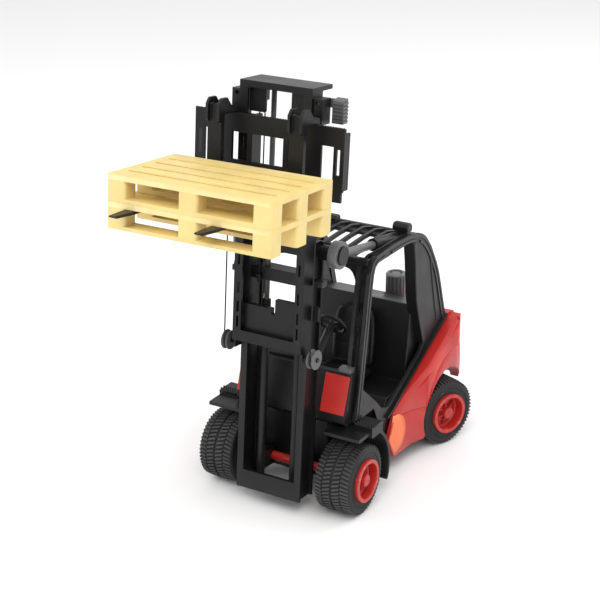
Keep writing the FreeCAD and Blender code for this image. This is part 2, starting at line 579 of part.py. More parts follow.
def make_outer_mast():
    """Two channels open to the outside, tied by cross plates, with eyes round the front axle."""
    height = ("mast_low", "mast_top")
    tie_span = ("-web_in - join_overlap", "web_in + join_overlap")
    pieces = [
        box(("-mast_in - 1", "mast_in + 1"), ("mast_front", "mast_front + 3"), ("mast_low", "foot_high")),
        box(tie_span, ("tie_front", "mast_rear"), ("tie_low", "tie_high")),
        box(tie_span, ("tie_front", "mast_rear"), ("head_low", "head_high")),
        box(tie_span, ("tie_front + 2", "mast_rear"), ("mast_low", "barrel_seat")),
    ]
    for side in SIDES.values():
        flange = side_span(side, "mast_in", "mast_out")
        pieces.append(box(flange, ("mast_front", "mast_front + mast_skin"), height))
        pieces.append(box(side_span(side, "web_in", "web_out"), ("mast_front", "mast_rear"), height))
        pieces.append(box(flange, ("mast_rear - mast_skin", "mast_rear"), height))
        pieces.append(rod("X", "eye_outside", *side_span(side, "eye_in", "eye_out"), 0, "axle_height"))
        pieces.append(box(side_span(side, "eye_in", "eye_out"), (-12, 0),
                          ("axle_height - eye_outside", "axle_height + eye_outside")))
        pieces.append(box(side_span(side, "eye_in", "web_in + 0.5"), (-14, "mast_rear"), (19, 36)))
        pieces.append(rod("X", "boss_radius", *side_span(side, "web_out - 1", "eye_x + eye_width / 2 + 0.2"),
                          "eye_y", "eye_z"))
        pieces.append(rod("X", "boss_radius + 1.3", *side_span(side, "eye_x + eye_width / 2 + 0.15",
                          "eye_x + eye_width / 2 + 1.6"), "eye_y", "eye_z"))
        pieces.append(box(side_span(side, "anchor_x_near", "anchor_x_far"),
                          ("top_pulley_y + 1.6", "tie_front + 0.1"), ("tie_low", "head_anchor")))
        pieces.append(box(side_span(side, "web_out - 0.5", "pulley_x + 1.5"),
                          ("anchor_front", "anchor_back"), ("rear_anchor", "rear_anchor + 4")))
        pieces.append(box(side_span(side, "inner_out + 1", "pulley_x + 1.5"),
                          ("pulley_y + groove_radius - 1.4", "anchor_front + 0.1"),
                          ("rear_anchor", "rear_anchor + 4")))
    bores = [rod("X", "housing_radius + 0.06", -23, 23, 0, "axle_height")]
    for side in SIDES.values():
        bores.append(rod("Z", "ram_radius + part_gap", 160, "mast_top + 1",
                         on_side(side, "barrel_x"), "barrel_y"))
    return cut(fuse(*pieces), *bores)


def make_barrels():
    """The two lift cylinders' barrels, bored from the top."""
    barrels = []
    for side in SIDES.values():
        centre = on_side(side, "barrel_x")
        outside = rod("Z", "barrel_radius", "barrel_seat", "barrel_top", centre, "barrel_y")
        bore = rod("Z", "ram_radius + fit_gap", "barrel_seat + 1.2", "barrel_top + 1", centre, "barrel_y")
        barrels.append(cut(outside, bore))
    return group(*barrels)


keep("outer_mast", make_outer_mast(), mast)
keep("lift_barrels", make_barrels(), mast)


# ---------------------------------------------------------------- inner mast

def make_inner_mast():
    """A ladder of two angle uprights with runners behind the outer mast's front flanges."""
    height = ("inner_low", "inner_top")
    pieces = [
        box(("-inner_in - 1", "inner_in + 1"), ("inner_front", "rung_rear - 0.6"), ("inner_low", "foot_top")),
        box(("-inner_out + join_overlap", "inner_out - join_overlap"), ("rung_front", "rung_rear"),
            ("rung_low", "rung_high")),
        box(("notch_out", "inner_out - join_overlap"), ("rung_front", "rung_rear"),
            ("rung_high - 1", "rung_crest")),
        box(("-inner_in - 1", "inner_in + 1"), ("inner_front", "inner_front + 3"),
            ("inner_top - lip_height", "inner_top")),
        box(("-inner_out", "inner_out"), ("inner_front", "head_plate_rear"), ("inner_top - 3", "inner_top")),
    ]
    holes = [box(("notch_in", "notch_out"), ("rung_front - 1", "rung_rear + 1"),
                 ("rung_high - 4", "rung_high + 1"))]
    for side in SIDES.values():
        pieces.append(box(side_span(side, "inner_in", "inner_out"),
                          ("inner_front", "inner_front + inner_skin"), height))
        pieces.append(box(side_span(side, "inner_out - side_skin", "inner_out"),
                          ("inner_front", "inner_rear"), height))
        pieces.append(box(side_span(side, "web_out + 0.4", "inner_out - 0.2"),
                          ("mast_front + mast_skin + part_gap", "inner_rear"), ("inner_low", "rail_top")))
        pieces.append(box(side_span(side, "inner_out - 0.5", 35), (-38, -27), ("head_foot", 302)))
        pieces.append(box(side_span(side, "inner_out - 0.5", 34), ("lug_front", "inner_rear + 1"),
                          (147, 157)))
        pieces.append(rod("X", "pulley_pin", *side_span(side, "inner_out - 0.5", "pulley_x + 3.6"),
                          "pulley_y", "pulley_z"))
        pieces.append(box(side_span(side, "inner_out - side_skin", "inner_out"), (-37, "inner_rear + 2"),
                          ("pulley_z - 3", "inner_low + 1")))
        for low in (135, 146, 160, 180.5, 206, 226, 262, 278):
            holes.append(box(side_span(side, "slot_near", "slot_far"),
                             ("inner_front - 1", "inner_front + inner_skin + 0.1"), (low, low + 8)))
        holes.append(rod("Y", "lever_pin + fit_gap", -39, -26, on_side(side, "lever_x"), "lever_z"))
        for near, far in (("top_pulley_x - 4.4", "top_pulley_x - 2.3"),
                          ("top_pulley_x + 2.3", "top_pulley_x + 4")):
            pieces.append(box(side_span(side, near, far), ("top_pulley_y - 1.5", "top_pulley_y + 1.5"),
                              ("top_pulley_z - 2", "inner_top - 2.5")))
        pieces.append(rod("X", "top_pin", *side_span(side, "top_pulley_x - 4.3", "top_pulley_x + 3.9"),
                          "top_pulley_y", "top_pulley_z"))
    return cut(fuse(*pieces), *holes)


def make_pulley(outside, groove, width, pin):
    """A grooved wheel with a bore, turned about its own axis."""
    half = f"({width}) / 2"
    return turned([(f"{pin} + fit_gap", f"-({half})"), (outside, f"-({half})"), (outside, f"-({half}) + 1"),
                   (groove, "-0.7"), (groove, "0.7"), (outside, f"({half}) - 1"), (outside, half),
                   (f"{pin} + fit_gap", half)], "X")


keep("inner_mast", make_inner_mast(), mast)
rams = [rod("Z", "ram_radius", "inner_low + 2", "inner_top - 3", on_side(side, "barrel_x"), "barrel_y")
        for side in SIDES.values()]
keep("lift_rams", group(*rams), mast)
for name, side in SIDES.items():
    low_centre = Vector(side * value("pulley_x"), value("pulley_y"), value("pulley_z"))
    top_centre = Vector(side * value("top_pulley_x"), value("top_pulley_y"), value("top_pulley_z"))
    keep(f"lower_pulley_{name}", make_pulley("pulley_radius", "groove_radius", "pulley_width", "pulley_pin"),
         mast * Placement(low_centre, Rotation()))
    keep(f"upper_pulley_{name}", make_pulley("top_pulley_radius", "top_groove_radius", 4, "top_pin"),
         mast * Placement(top_centre, Rotation()))


# ---------------------------------------------------------------- carriage, forks and release lever

def make_carriage():
    """A plate frame with a toothed top bar, hung on guides that grip the inner mast's front flanges."""
    skin = ("plate_front", "plate_rear")
    pieces = [
        box(("-plate_half", "plate_half"), skin, ("bar_foot", "plate_top - comb_depth / 2")),
        box(("-plate_half + 9", "plate_half - 9"), skin, ("plate_low", 249)),
        box((-28, 28), skin, (248, 255.5)),
    ]
    holes = []
    teeth = 58
    for index in range(teeth):
        left = f"-plate_half + {index} * 2 * plate_half / {teeth}"
        pieces.append(box((left, f"{left} + plate_half / {teeth}"), skin,
                          ("plate_top - comb_depth", "plate_top")))
    for side in SIDES.values():
        pieces.append(box(side_span(side, "plate_half - 8", "plate_half"), skin, (245, "bar_foot + 1")))
        pieces.append(box(side_span(side, "plate_half - 10", "plate_half - 1"), skin, ("plate_low", 246)))
        pieces.append(box(side_span(side, "plate_half - 1.6", "plate_half"), ("plate_front", -40),
                          (246, 284)))
        pieces.append(box(side_span(side, 28, 41), skin, (248, "bar_foot + 1")))
        pieces.append(box(side_span(side, "guide_in", "guide_out"), ("plate_front", -36), ("plate_low", 286)))
        pieces.append(box(side_span(side, "guide_out - 0.5", "lip_out"),
                          ("inner_front + inner_skin + part_gap", -36), ("plate_low", 286)))
        pieces.append(box(side_span(side, "anchor_x_near", "anchor_x_far"),
                          ("plate_rear - 0.5", "top_pulley_y - 2.4"),
                          ("carriage_head_anchor - 4", "carriage_head_anchor")))
        pieces.append(box(side_span(side, 29, "pulley_x + 1.5"),
                          ("plate_rear - 0.5", "pulley_y - groove_radius + 1.4"),
                          ("carriage_anchor", "carriage_anchor + 4")))
        holes.append(box(side_span(side, "plate_half - 5.8", "plate_half - 3"), (-50, -44),
                         (256, "bar_foot - 1.5")))
    return cut(fuse(*pieces), *holes)


def make_fork(side):
    """A fork: a tapered blade, an upright shank and a two-lugged head that hooks over the carriage."""
    across = ("-fork_half", "fork_half")
    blade = common(
        prism("YZ_Plane", "-fork_half", "fork_half", [
            ("fork_tip", "load_z"), ("shank_rear", "load_z"), ("shank_rear", "load_z - blade_thick"),
            ("shank_front - 2", "load_z - blade_thick"), ("fork_tip + 2", "load_z - 1.8"),
            ("fork_tip", "load_z - 0.8")]),
        prism("XY_Plane", 230, 245, [
            (-2.4, "fork_tip"), (2.4, "fork_tip"), ("blade_half", "fork_tip + 14"), ("blade_half", -74),
            ("fork_half", -69), ("fork_half", -55), ("-fork_half", -55), ("-fork_half", -69),
            ("-blade_half", -74), ("-blade_half", "fork_tip + 14")]))
    pieces = [
        blade,
        box(across, ("shank_front", "shank_rear"), ("load_z - blade_thick", "hook_top - 4")),
        box(("2 - fork_half", "fork_half - 2"), ("shank_rear - 1", "plate_front - part_gap"), (241, 249)),
        box(across, ("shank_front", -43.4), ("plate_top + part_gap", 291)),
        box(across, ("plate_rear + part_gap", -43.4), (280, 291)),
    ]
    for low, high in (("-fork_half", "2 - fork_half"), ("fork_half - 2", "fork_half")):
        pieces.append(prism("YZ_Plane", low, high, [
            ("hook_front", 284), ("shank_rear", 280), ("shank_rear", "plate_top + part_gap"),
            (-43.4, "plate_top + part_gap"), (-43.4, 291), (-52, 293), (-57, "hook_top"), (-64, "hook_top"),
            ("hook_front", 295)]))
    return fuse(*pieces)


def make_lever():
    """A rocking catch with a ribbed finger pad on the outside of the inner mast's head."""
    behind = "inner_rear - 0.9"
    pieces = [
        rod("Y", "lever_pin", -36, -25, "lever_x", "lever_z"),
        box(("lever_x - 2.6", 39.5), (behind, -23.4), (295.6, 301.4)),
        prism("YZ_Plane", "pad_near", 46, [(-30, 286), (-23.4, 286), (-23.4, 302.5), (-30, 301)]),
    ]
    for step in range(6):
        low = f"287 + {step} * 2.4"
        pieces.append(box(("pad_near + 0.6", 46.8), (-30.6, -23.9), (low, f"{low} + 1.1")))
    return fuse(*pieces)


keep("carriage", make_carriage(), mast)
for name, side in SIDES.items():
    keep(f"fork_{name}", make_fork(side), mast * Placement(Vector(side * value("fork_x"), 0, 0), Rotation()))
keep("release_lever", make_lever(), mast)


# ---------------------------------------------------------------- tilt rods

def tilt_frame(side):
    """The frame at a tilt cylinder's trunnion, with its Z axis pointing forward to the mast's boss."""
    boss = (truck.inverse() * mast).multVec(Vector(0, value("eye_y"), value("eye_z")))
    pivot = Vector(0, value("socket_y"), value("socket_z"))
    aim = Rotation(Vector(0, 0, 1), Vector(0, boss.y - pivot.y, boss.z - pivot.z))
    reach = math.hypot(boss.y - pivot.y, boss.z - pivot.z)
    place = truck * Placement(Vector(side * value("eye_x"), pivot.y, pivot.z), aim)
    return place, reach


def make_socket():
    """The barrel that a tilt rod slides in, with trunnion pins on both sides."""
    barrel = rod("Z", "socket_radius", -4, "socket_length - 4", 0, 0)
    pins = rod("X", "trunnion_radius", -5, "48.4 - eye_x", 0, 0)
    bore = rod("Z", "tilt_rod_radius + fit_gap", -2, "socket_length", 0, 0)
    inner_pin = rod("X", "socket_radius - 1.6", -4.4, 4.4, 0, 0)
    return cut(fuse(barrel, pins, inner_pin), bore)


def make_tilt_rod(reach):
    """A rod ending in a ring that goes round the mast's boss."""
    ring = rod("X", "eye_radius", "-eye_width / 2", "eye_width / 2", 0, reach)
    hole = rod("X", "boss_radius + eye_gap", -6, 6, 0, reach)
    bar = rod("Z", "tilt_rod_radius", 9.4, f"{reach} - eye_radius + 1.5", 0, 0)
    return cut(fuse(ring, bar), hole)


for name, side in SIDES.items():
    frame, reach = tilt_frame(side)
    pins_out = Placement(Vector(), Rotation(Vector(0, 0, 1), 0 if side > 0 else 180))
    keep(f"tilt_cylinder_{name}", moved(make_socket(), pins_out), frame)
    keep(f"tilt_rod_{name}", make_tilt_rod(reach), frame)


# ---------------------------------------------------------------- strings

def make_strings(across, along, low, high):
    """A straight string on each side of the mast."""
    return group(*[rod("Z", "string_radius", low, high, on_side(side, across), along)
                   for side in SIDES.values()])


keep("lower_string_rear", make_strings("pulley_x", "pulley_y + groove_radius + string_gap",
                                       "pulley_z", "rear_anchor"), mast)
keep("lower_string_front", make_strings("pulley_x", "pulley_y - groove_radius - string_gap",
                                        "pulley_z", "carriage_anchor"), mast)
keep("upper_string_rear", make_strings("top_pulley_x", "top_pulley_y + top_groove_radius + string_gap",
                                       "head_anchor", "top_pulley_z"), mast)
keep("upper_string_front", make_strings("top_pulley_x", "top_pulley_y - top_groove_radius - string_gap",
                                        "carriage_head_anchor", "top_pulley_z"), mast)


# ---------------------------------------------------------------- pallets

def make_pallet():
    """A flat pallet: three skids, nine blocks and a deck with grooves that stop short of its ends."""
    half_length = "pallet_length / 2"
    half_depth = "pallet_depth / 2"
    under = "pallet_height - deck_thick"
    pieces = [box((f"-{half_length}", half_length), (f"-{half_depth}", half_depth), (under, "pallet_height"))]
    for row in (-1, 0, 1):
        middle = f"{row} * ({half_depth} - block_depth / 2)"
        depth = (f"{middle} - block_depth / 2", f"{middle} + block_depth / 2")
        pieces.append(box((f"-{half_length}", half_length), depth, (0, "skid_thick")))
        for column in (-1, 0, 1):
            centre = f"{column} * ({half_length} - block_length / 2)"
            pieces.append(box((f"{centre} - block_length / 2", f"{centre} + block_length / 2"), depth,
                              ("skid_thick - 0.2", f"{under} + 0.2")))
    grooves = []
    for line in (-1.5, -0.5, 0.5, 1.5):
        middle = f"{line} * pallet_depth / 5"
        grooves.append(box((f"groove_end - {half_length}", f"{half_length} - groove_end"),
                           (f"{middle} - deck_groove / 2", f"{middle} + deck_groove / 2"),
                           ("pallet_height - groove_depth", "pallet_height + 1")))
    return cut(fuse(*pieces), *grooves)


pallet_low = value("load_z + deck_thick - pallet_height")
for label, level in (("pallet_lower", pallet_low), ("pallet_upper", pallet_low + value("pallet_height"))):
    centre = Vector(value("pallet_x"), value("pallet_front + pallet_depth / 2"), level)
    keep(label, make_pallet(), mast * Placement(centre, Rotation(Vector(0, 0, 1), value("pallet_turn"))))


# ---------------------------------------------------------------- checks and export

doc.recompute()
failed = [item for item in doc.Objects if "Invalid" in item.State or "Error" in item.State]
if failed:
    names = [f"{item.Label} in {[user.Label for user in item.InListRecursive]}" for item in failed]
    raise RuntimeError("\n".join(names))
os.makedirs("parts", exist_ok=True)
for whole in subparts:
    shape = whole.Shape
    if shape.isNull() or not shape.isValid():
        raise RuntimeError(f"{whole.Label} has no valid shape")
    print(f"{whole.Label:22s} {len(shape.Solids)} solid(s) {shape.Volume / 1000:8.2f} cm3")
    shape.exportStep(f"parts/{whole.Label}.step")
print(len(subparts), "sub-parts")
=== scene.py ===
"""Looks of the toy forklift: meshes, materials, strings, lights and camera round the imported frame."""
import json
import math

import bmesh
import bpy
from mathutils import Matrix, Vector
from mathutils.bvhtree import BVHTree


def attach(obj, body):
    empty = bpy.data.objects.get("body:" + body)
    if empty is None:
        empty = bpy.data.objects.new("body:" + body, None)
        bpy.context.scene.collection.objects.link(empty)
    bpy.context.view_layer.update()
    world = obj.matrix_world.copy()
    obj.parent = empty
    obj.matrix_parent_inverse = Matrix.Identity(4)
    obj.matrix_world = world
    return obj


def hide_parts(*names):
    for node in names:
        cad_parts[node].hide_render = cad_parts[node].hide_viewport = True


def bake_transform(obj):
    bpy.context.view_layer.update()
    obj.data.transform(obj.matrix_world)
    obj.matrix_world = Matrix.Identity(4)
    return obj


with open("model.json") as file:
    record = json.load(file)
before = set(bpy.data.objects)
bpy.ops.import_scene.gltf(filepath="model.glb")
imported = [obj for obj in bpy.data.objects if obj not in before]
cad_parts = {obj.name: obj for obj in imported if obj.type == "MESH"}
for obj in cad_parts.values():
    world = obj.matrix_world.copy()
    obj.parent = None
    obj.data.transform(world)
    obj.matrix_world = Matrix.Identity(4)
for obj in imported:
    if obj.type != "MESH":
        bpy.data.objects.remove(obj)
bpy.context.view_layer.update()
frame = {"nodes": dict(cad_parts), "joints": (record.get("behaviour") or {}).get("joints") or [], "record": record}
nodes = frame["nodes"]
joints = {joint["name"]: joint for joint in frame["joints"]}

MM = 0.001
WELD = 0.002 * MM  # points nearer than this are joined
GRAIN_DEPTH = 0.06 * MM

# ---------------------------------------------------------------- places taken from the frame

AXLE = Vector(joints["mast_tilt"]["pos_m"])
LEAN = math.atan2(joints["mast_lift"]["axis"][1], joints["mast_lift"]["axis"][2])
MAST = Matrix.Translation(AXLE) @ Matrix.Rotation(-LEAN, 4, "X") @ Matrix.Translation((0, 0, -AXLE.z))
TRUCK = Matrix.Translation((0, AXLE.y, 0))


def mm(*numbers):
    """Millimetres as a vector in metres."""
    return Vector(numbers) * MM


# ---------------------------------------------------------------- materials

def shade(material, kind, **values):
    """Add a shader node, set its inputs by name and return it."""
    node = material.node_tree.nodes.new(kind)
    for name, value in values.items():
        node.inputs[name.replace("_", " ")].default_value = value
    return node


def mix_colour(material, factor, first, second, blend="MIX"):
    """A colour mix node; factor, first and second are sockets or values."""
    node = material.node_tree.nodes.new("ShaderNodeMix")
    node.data_type = "RGBA"
    node.blend_type = blend
    for slot, value in ((0, factor), (6, first), (7, second)):
        if hasattr(value, "is_output"):
            material.node_tree.links.new(value, node.inputs[slot])
        else:
            node.inputs[slot].default_value = value
    return node.outputs[2]


def ramp(material, source, low, high, dark, light):
    """Map a socket through a two-stop ramp of greys or colours."""
    node = material.node_tree.nodes.new("ShaderNodeValToRGB")
    node.color_ramp.elements[0].position = low
    node.color_ramp.elements[1].position = high
    for element, tone in zip(node.color_ramp.elements, (dark, light)):
        element.color = (tone, tone, tone, 1) if isinstance(tone, (int, float)) else tone
    material.node_tree.links.new(source, node.inputs[0])
    return node.outputs[0]


def plastic(name, colour, roughness, grain=0.25, grain_size=0.35, mottle=0.06, wear=None, coat=0.0,
            specular=0.5, subsurface=0.0):
    """Moulded plastic: fine spark grain, faint mottling, rubbed edges and an uneven sheen.

    grain_size is in millimetres; wear is the colour that corners rub to.
    """
    material = bpy.data.materials.new(name)
    material.use_nodes = True
    tree = material.node_tree
    link = tree.links.new
    surface = tree.nodes["Principled BSDF"]
    place = tree.nodes.new("ShaderNodeTexCoord").outputs["Object"]
    broad = shade(material, "ShaderNodeTexNoise", Scale=60.0, Detail=3.0, Roughness=0.55)
    fine = shade(material, "ShaderNodeTexNoise", Scale=1.0 / (grain_size * MM), Detail=2.0, Roughness=0.6)
    smudge = shade(material, "ShaderNodeTexNoise", Scale=24.0, Detail=6.0, Roughness=0.7, Distortion=0.6)
    for texture in (broad, fine, smudge):
        link(place, texture.inputs["Vector"])
    deep = tuple(channel * (1 - mottle * 2) for channel in colour) + (1,)
    lifted = tuple(min(1, channel * (1 + mottle)) for channel in colour) + (1,)
    tone = ramp(material, broad.outputs["Fac"], 0.3, 0.7, deep, lifted)
    if wear:
        pointed = tree.nodes.new("ShaderNodeNewGeometry").outputs["Pointiness"]
        edge = ramp(material, pointed, 0.53, 0.62, 0.0, 1.0)
        patch = ramp(material, smudge.outputs["Fac"], 0.35, 0.65, 0.15, 0.8)
        strength = tree.nodes.new("ShaderNodeMath")
        strength.operation = "MULTIPLY"
        link(edge, strength.inputs[0])
        link(patch, strength.inputs[1])
        tone = mix_colour(material, strength.outputs[0], tone, tuple(wear) + (1,))
    link(tone, surface.inputs["Base Color"])
    glossy, dull = max(0.02, roughness - 0.07), min(1, roughness + 0.1)
    link(ramp(material, smudge.outputs["Fac"], 0.3, 0.75, glossy, dull), surface.inputs["Roughness"])
    bump = shade(material, "ShaderNodeBump", Strength=grain, Distance=GRAIN_DEPTH)
    link(fine.outputs["Fac"], bump.inputs["Height"])
    link(bump.outputs["Normal"], surface.inputs["Normal"])
    surface.inputs["Specular IOR Level"].default_value = specular
    surface.inputs["Coat Weight"].default_value = coat
    surface.inputs["Coat Roughness"].default_value = 0.12
    surface.inputs["Subsurface Weight"].default_value = subsurface
    surface.inputs["Subsurface Scale"].default_value = 0.002
    return material


BLACK = plastic("black_satin", (0.006, 0.006, 0.0065), 0.38, wear=(0.04, 0.04, 0.042), specular=0.3)
RED = plastic("red_gloss", (0.46, 0.018, 0.014), 0.34, grain=0.1, mottle=0.04, wear=(0.58, 0.06, 0.045),
              coat=0.06, specular=0.36, subsurface=0.03)
RIM_RED = plastic("rim_red", (0.45, 0.016, 0.012), 0.34, grain=0.12, wear=(0.75, 0.1, 0.07), coat=0.15,
                  subsurface=0.05)
GREY = plastic("mid_grey_satin", (0.085, 0.085, 0.086), 0.4, wear=(0.2, 0.2, 0.2))
LIGHT_GREY = plastic("light_grey_satin", (0.12, 0.12, 0.119), 0.36, grain=0.15, wear=(0.24, 0.24, 0.24))
PALLET = plastic("pallet_yellow", (0.74, 0.56, 0.2), 0.45, grain=0.3, grain_size=0.5, mottle=0.05,
                 wear=(0.86, 0.72, 0.4), subsurface=0.03)
# painted shade: a dark brown for the walls of the pallet deck's grooves, standing in for the shadow inside them
PALLET_GROOVE_SHADE = plastic("pallet_painted_groove_shade", (0.17, 0.11, 0.03), 0.6, grain=0.3, grain_size=0.5,
                        mottle=0.08)
RUBBER = plastic("tyre_rubber", (0.014, 0.014, 0.015), 0.6, grain=0.5, grain_size=0.3, mottle=0.1,
                 wear=(0.07, 0.07, 0.07), specular=0.35)
STEEL = plastic("turned_steel", (0.55, 0.55, 0.56), 0.3, grain=0.1)
STEEL.node_tree.nodes["Principled BSDF"].inputs["Metallic"].default_value = 1.0
CORD = plastic("black_cord", (0.006, 0.006, 0.006), 0.8, grain=0.8, grain_size=0.25)

FINISH = {"black_plastic": BLACK, "red_plastic": RED, "rim_red": RIM_RED,
          "dark_grey_plastic": GREY, "light_grey_plastic": LIGHT_GREY, "steel": STEEL,
          "tyre": RUBBER, "pallet_plastic": PALLET, "cord": CORD}
SLOTS = {part["node"]: part["material_slot"] for part in frame["record"]["subparts"]}


def paint(thing, material):
    """Give an object one material."""
    thing.data.materials.clear()
    thing.data.materials.append(material)


def soften(thing, width, segments=2, angle=35):
    """Round an object's sharp edges, with hardened normals."""
    bevel = thing.modifiers.new("edge_round", "BEVEL")
    bevel.width = width * MM
    bevel.segments = segments
    bevel.limit_method = "ANGLE"
    bevel.angle_limit = math.radians(angle)
    bevel.harden_normals = True
    bevel.use_clamp_overlap = True


# ---------------------------------------------------------------- mesh tools

AXES = {"X": lambda u, v, w: (w, u, v), "Y": lambda u, v, w: (u, w, v), "Z": lambda u, v, w: (u, v, w)}
NEARLY_STRAIGHT = 1.54
taken = set()


def rounded(points, steps=4):
    """An outline with its corners rounded; a point's third number is its radius.

    A corner whose half angle is over NEARLY_STRAIGHT, in radians, stays as it is.
    """
    outline = []
    count = len(points)
    for index, point in enumerate(points):
        here = Vector(point[:2])
        radius = point[2] if len(point) > 2 else 0
        if radius <= 0:
            outline.append(here)
            continue
        before = Vector(points[index - 1][:2]) - here
        after = Vector(points[(index + 1) % count][:2]) - here
        reach = min(before.length, after.length) * 0.49
        before.normalize()
        after.normalize()
        half = before.angle(after) / 2
        if half > NEARLY_STRAIGHT:
            outline.append(here)
            continue
        length = min(radius / math.tan(half), reach)
        radius = length * math.tan(half)
        middle = here + (before + after).normalized() * (radius / math.sin(half))
        first = here + before * length - middle
        last = here + after * length - middle
        sweep = first.angle_signed(last)
        for step in range(steps + 1):
            outline.append(middle + Matrix.Rotation(-sweep * step / steps, 2) @ first)
    return outline


def oblong(x, y, radius, steps=4):
    """A rectangle with rounded corners, given by its spans."""
    return rounded([(x[0], y[0], radius), (x[1], y[0], radius), (x[1], y[1], radius), (x[0], y[1], radius)],
                   steps)


def face_loop(bm, points):
    """Vertices for a closed loop of 3-D points in millimetres."""
    return [bm.verts.new(point) for point in points]


def walls(bm, first, second, finish=0):
    """Quads between two equal closed loops; finish is their material slot."""
    for index in range(len(first)):
        after = (index + 1) % len(first)
        bm.faces.new((first[index], first[after], second[after], second[index])).material_index = finish


def slab(bm, axis, low, high, outline, *holes, hole_wall_slot=0):
    """A flat plate of an outline, with holes, between two heights along an axis."""
    place = AXES[axis]
    rims = []
    for height in (low, high):
        loops = [face_loop(bm, [place(point[0], point[1], height) for point in loop])
                 for loop in (outline, *holes)]
        edges = [bm.edges.new((loop[index - 1], loop[index])) for loop in loops for index in range(len(loop))]
        if holes:
            bmesh.ops.triangle_fill(bm, use_beauty=True, use_dissolve=False, edges=edges)
        else:
            bm.faces.new(loops[0])
        rims.append(loops)
    for count, (lower, upper) in enumerate(zip(*rims)):
        walls(bm, lower, upper, hole_wall_slot if count else 0)


def loft(bm, rings):
    """A closed skin through equal rings of points."""
    loops = [face_loop(bm, ring) for ring in rings]
    for lower, upper in zip(loops, loops[1:]):
        walls(bm, lower, upper)
    bm.faces.new(loops[0])
    bm.faces.new(loops[-1])


def turn(bm, profile, axis, steps, centre=(0, 0, 0)):
    """A closed profile of (along, radius) turned about an axis; a radius of 0 closes it there."""
    order = {"X": (0, 1, 2), "Z": (2, 0, 1)}[axis]
    rings = []
    for along, radius in profile:
        ring = []
        for step in range(steps if radius else 1):
            angle = step * math.tau / steps
            spot = [0, 0, 0]
            spot[order[0]] = along
            spot[order[1]] = radius * math.cos(angle)
            spot[order[2]] = radius * math.sin(angle)
            ring.append(bm.verts.new(Vector(spot) + Vector(centre)))
        rings.append(ring)
    open_ends = len(rings[0]) == 1 and len(rings[-1]) == 1
    pairs = list(zip(rings, rings[1:])) + ([] if open_ends else [(rings[-1], rings[0])])
    for first, second in pairs:
        for step in range(steps):
            after = (step + 1) % steps
            corners = [first[step % len(first)], first[after % len(first)], second[after % len(second)],
                       second[step % len(second)]]
            bm.faces.new(list(dict.fromkeys(corners)))


def tube(bm, points, radius, steps, frame_up=(0, 0, 1)):
    """A round bar along a line of points."""
    points = [Vector(point) for point in points]
    loops = []
    side = None
    for index, point in enumerate(points):
        before = points[index - 1] if index else point
        after = points[index + 1] if index + 1 < len(points) else point
        along = (after - before).normalized()
        if side is None:
            up = Vector(frame_up) if abs(along.dot(Vector(frame_up))) < 0.95 else Vector((0, 1, 0))
            side = along.cross(up).normalized()
        side = (side - along * side.dot(along)).normalized()
        across = along.cross(side)
        angles = [step * math.tau / steps for step in range(steps)]
        loops.append(face_loop(bm, [point + (side * math.cos(angle) + across * math.sin(angle)) * radius
                                    for angle in angles]))
    for lower, upper in zip(loops, loops[1:]):
        walls(bm, lower, upper)
    bm.faces.new(loops[0])
    bm.faces.new(loops[-1])


def mesh_of(bm, place):
    """A mesh in the row frame from millimetres in a local frame."""
    bmesh.ops.recalc_face_normals(bm, faces=bm.faces)
    mesh = bpy.data.meshes.new("shape")
    bm.to_mesh(mesh)
    bm.free()
    mesh.transform(place @ Matrix.Scale(MM, 4))
    if place.determinant() < 0:
        mesh.flip_normals()
    return mesh


def welded(mesh):
    """A copy of a mesh with the points that share a place joined and its flat faces made whole."""
    bm = bmesh.new()
    bm.from_mesh(mesh)
    bmesh.ops.remove_doubles(bm, verts=bm.verts, dist=WELD)
    bmesh.ops.dissolve_limit(bm, angle_limit=math.radians(1), verts=bm.verts, edges=bm.edges)
    joined = bpy.data.meshes.new("joined")
    bm.to_mesh(joined)
    bm.free()
    return joined


def carved(mesh, cutter):
    """A mesh with another mesh's volume cut out of it."""
    whole = bpy.data.objects.new("whole", mesh)
    tool = bpy.data.objects.new("tool", cutter)
    for thing in (whole, tool):
        bpy.context.scene.collection.objects.link(thing)
    knife = whole.modifiers.new("cut", "BOOLEAN")
    knife.operation = "DIFFERENCE"
    knife.solver = "EXACT"
    knife.use_self = True
    knife.object = tool
    result = bpy.data.meshes.new_from_object(whole.evaluated_get(bpy.context.evaluated_depsgraph_get()))
    for thing in (whole, tool):
        bpy.data.objects.remove(thing)
    return result


def drawn(name, mesh, material):
    """A smooth object of a mesh, in one material."""
    mesh.shade_smooth()
    thing = bpy.data.objects.new(name, mesh)
    bpy.context.scene.collection.objects.link(thing)
    paint(thing, material)
    return thing


def stand_in(labels):
    """Hide the CAD nodes that a piece stands for, and add them to the taken set."""
    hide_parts(*labels)
    taken.update(labels)


def piece(name, body, material, make, place=TRUCK, stands_for=(), round_by=0.4, segments=2, cuts=None,
          angle=35, smooth=0):
    """Build one named piece in a local frame in millimetres: make(bm) draws it, cuts(bm) what is cut away."""
    bm = bmesh.new()
    make(bm)
    mesh = mesh_of(bm, place)
    if cuts:
        tools = bmesh.new()
        cuts(tools)
        mesh = carved(mesh, mesh_of(tools, place))
    thing = drawn(name, mesh, material)
    if smooth:
        divide = thing.modifiers.new("subdivide", "SUBSURF")
        divide.levels = divide.render_levels = smooth
    if round_by:
        soften(thing, round_by, segments, angle)
    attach(thing, body)
    if stands_for:
        stand_in(stands_for)
    return thing


def recast(label, name, body, material, mesh, round_by):
    """Stand a cleaned copy of a node's mesh, with its edges rounded, in for the node."""
    thing = drawn(name, mesh, material)
    soften(thing, round_by, 3, 40)
    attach(thing, body)
    stand_in([label])


def side_place(side):
    """The truck's frame, with its X axis reversed for the right side."""
    return TRUCK if side > 0 else TRUCK @ Matrix.Scale(-1, 4, (1, 0, 0))


SIDES = {"left": 1, "right": -1}

# ---------------------------------------------------------------- wheels

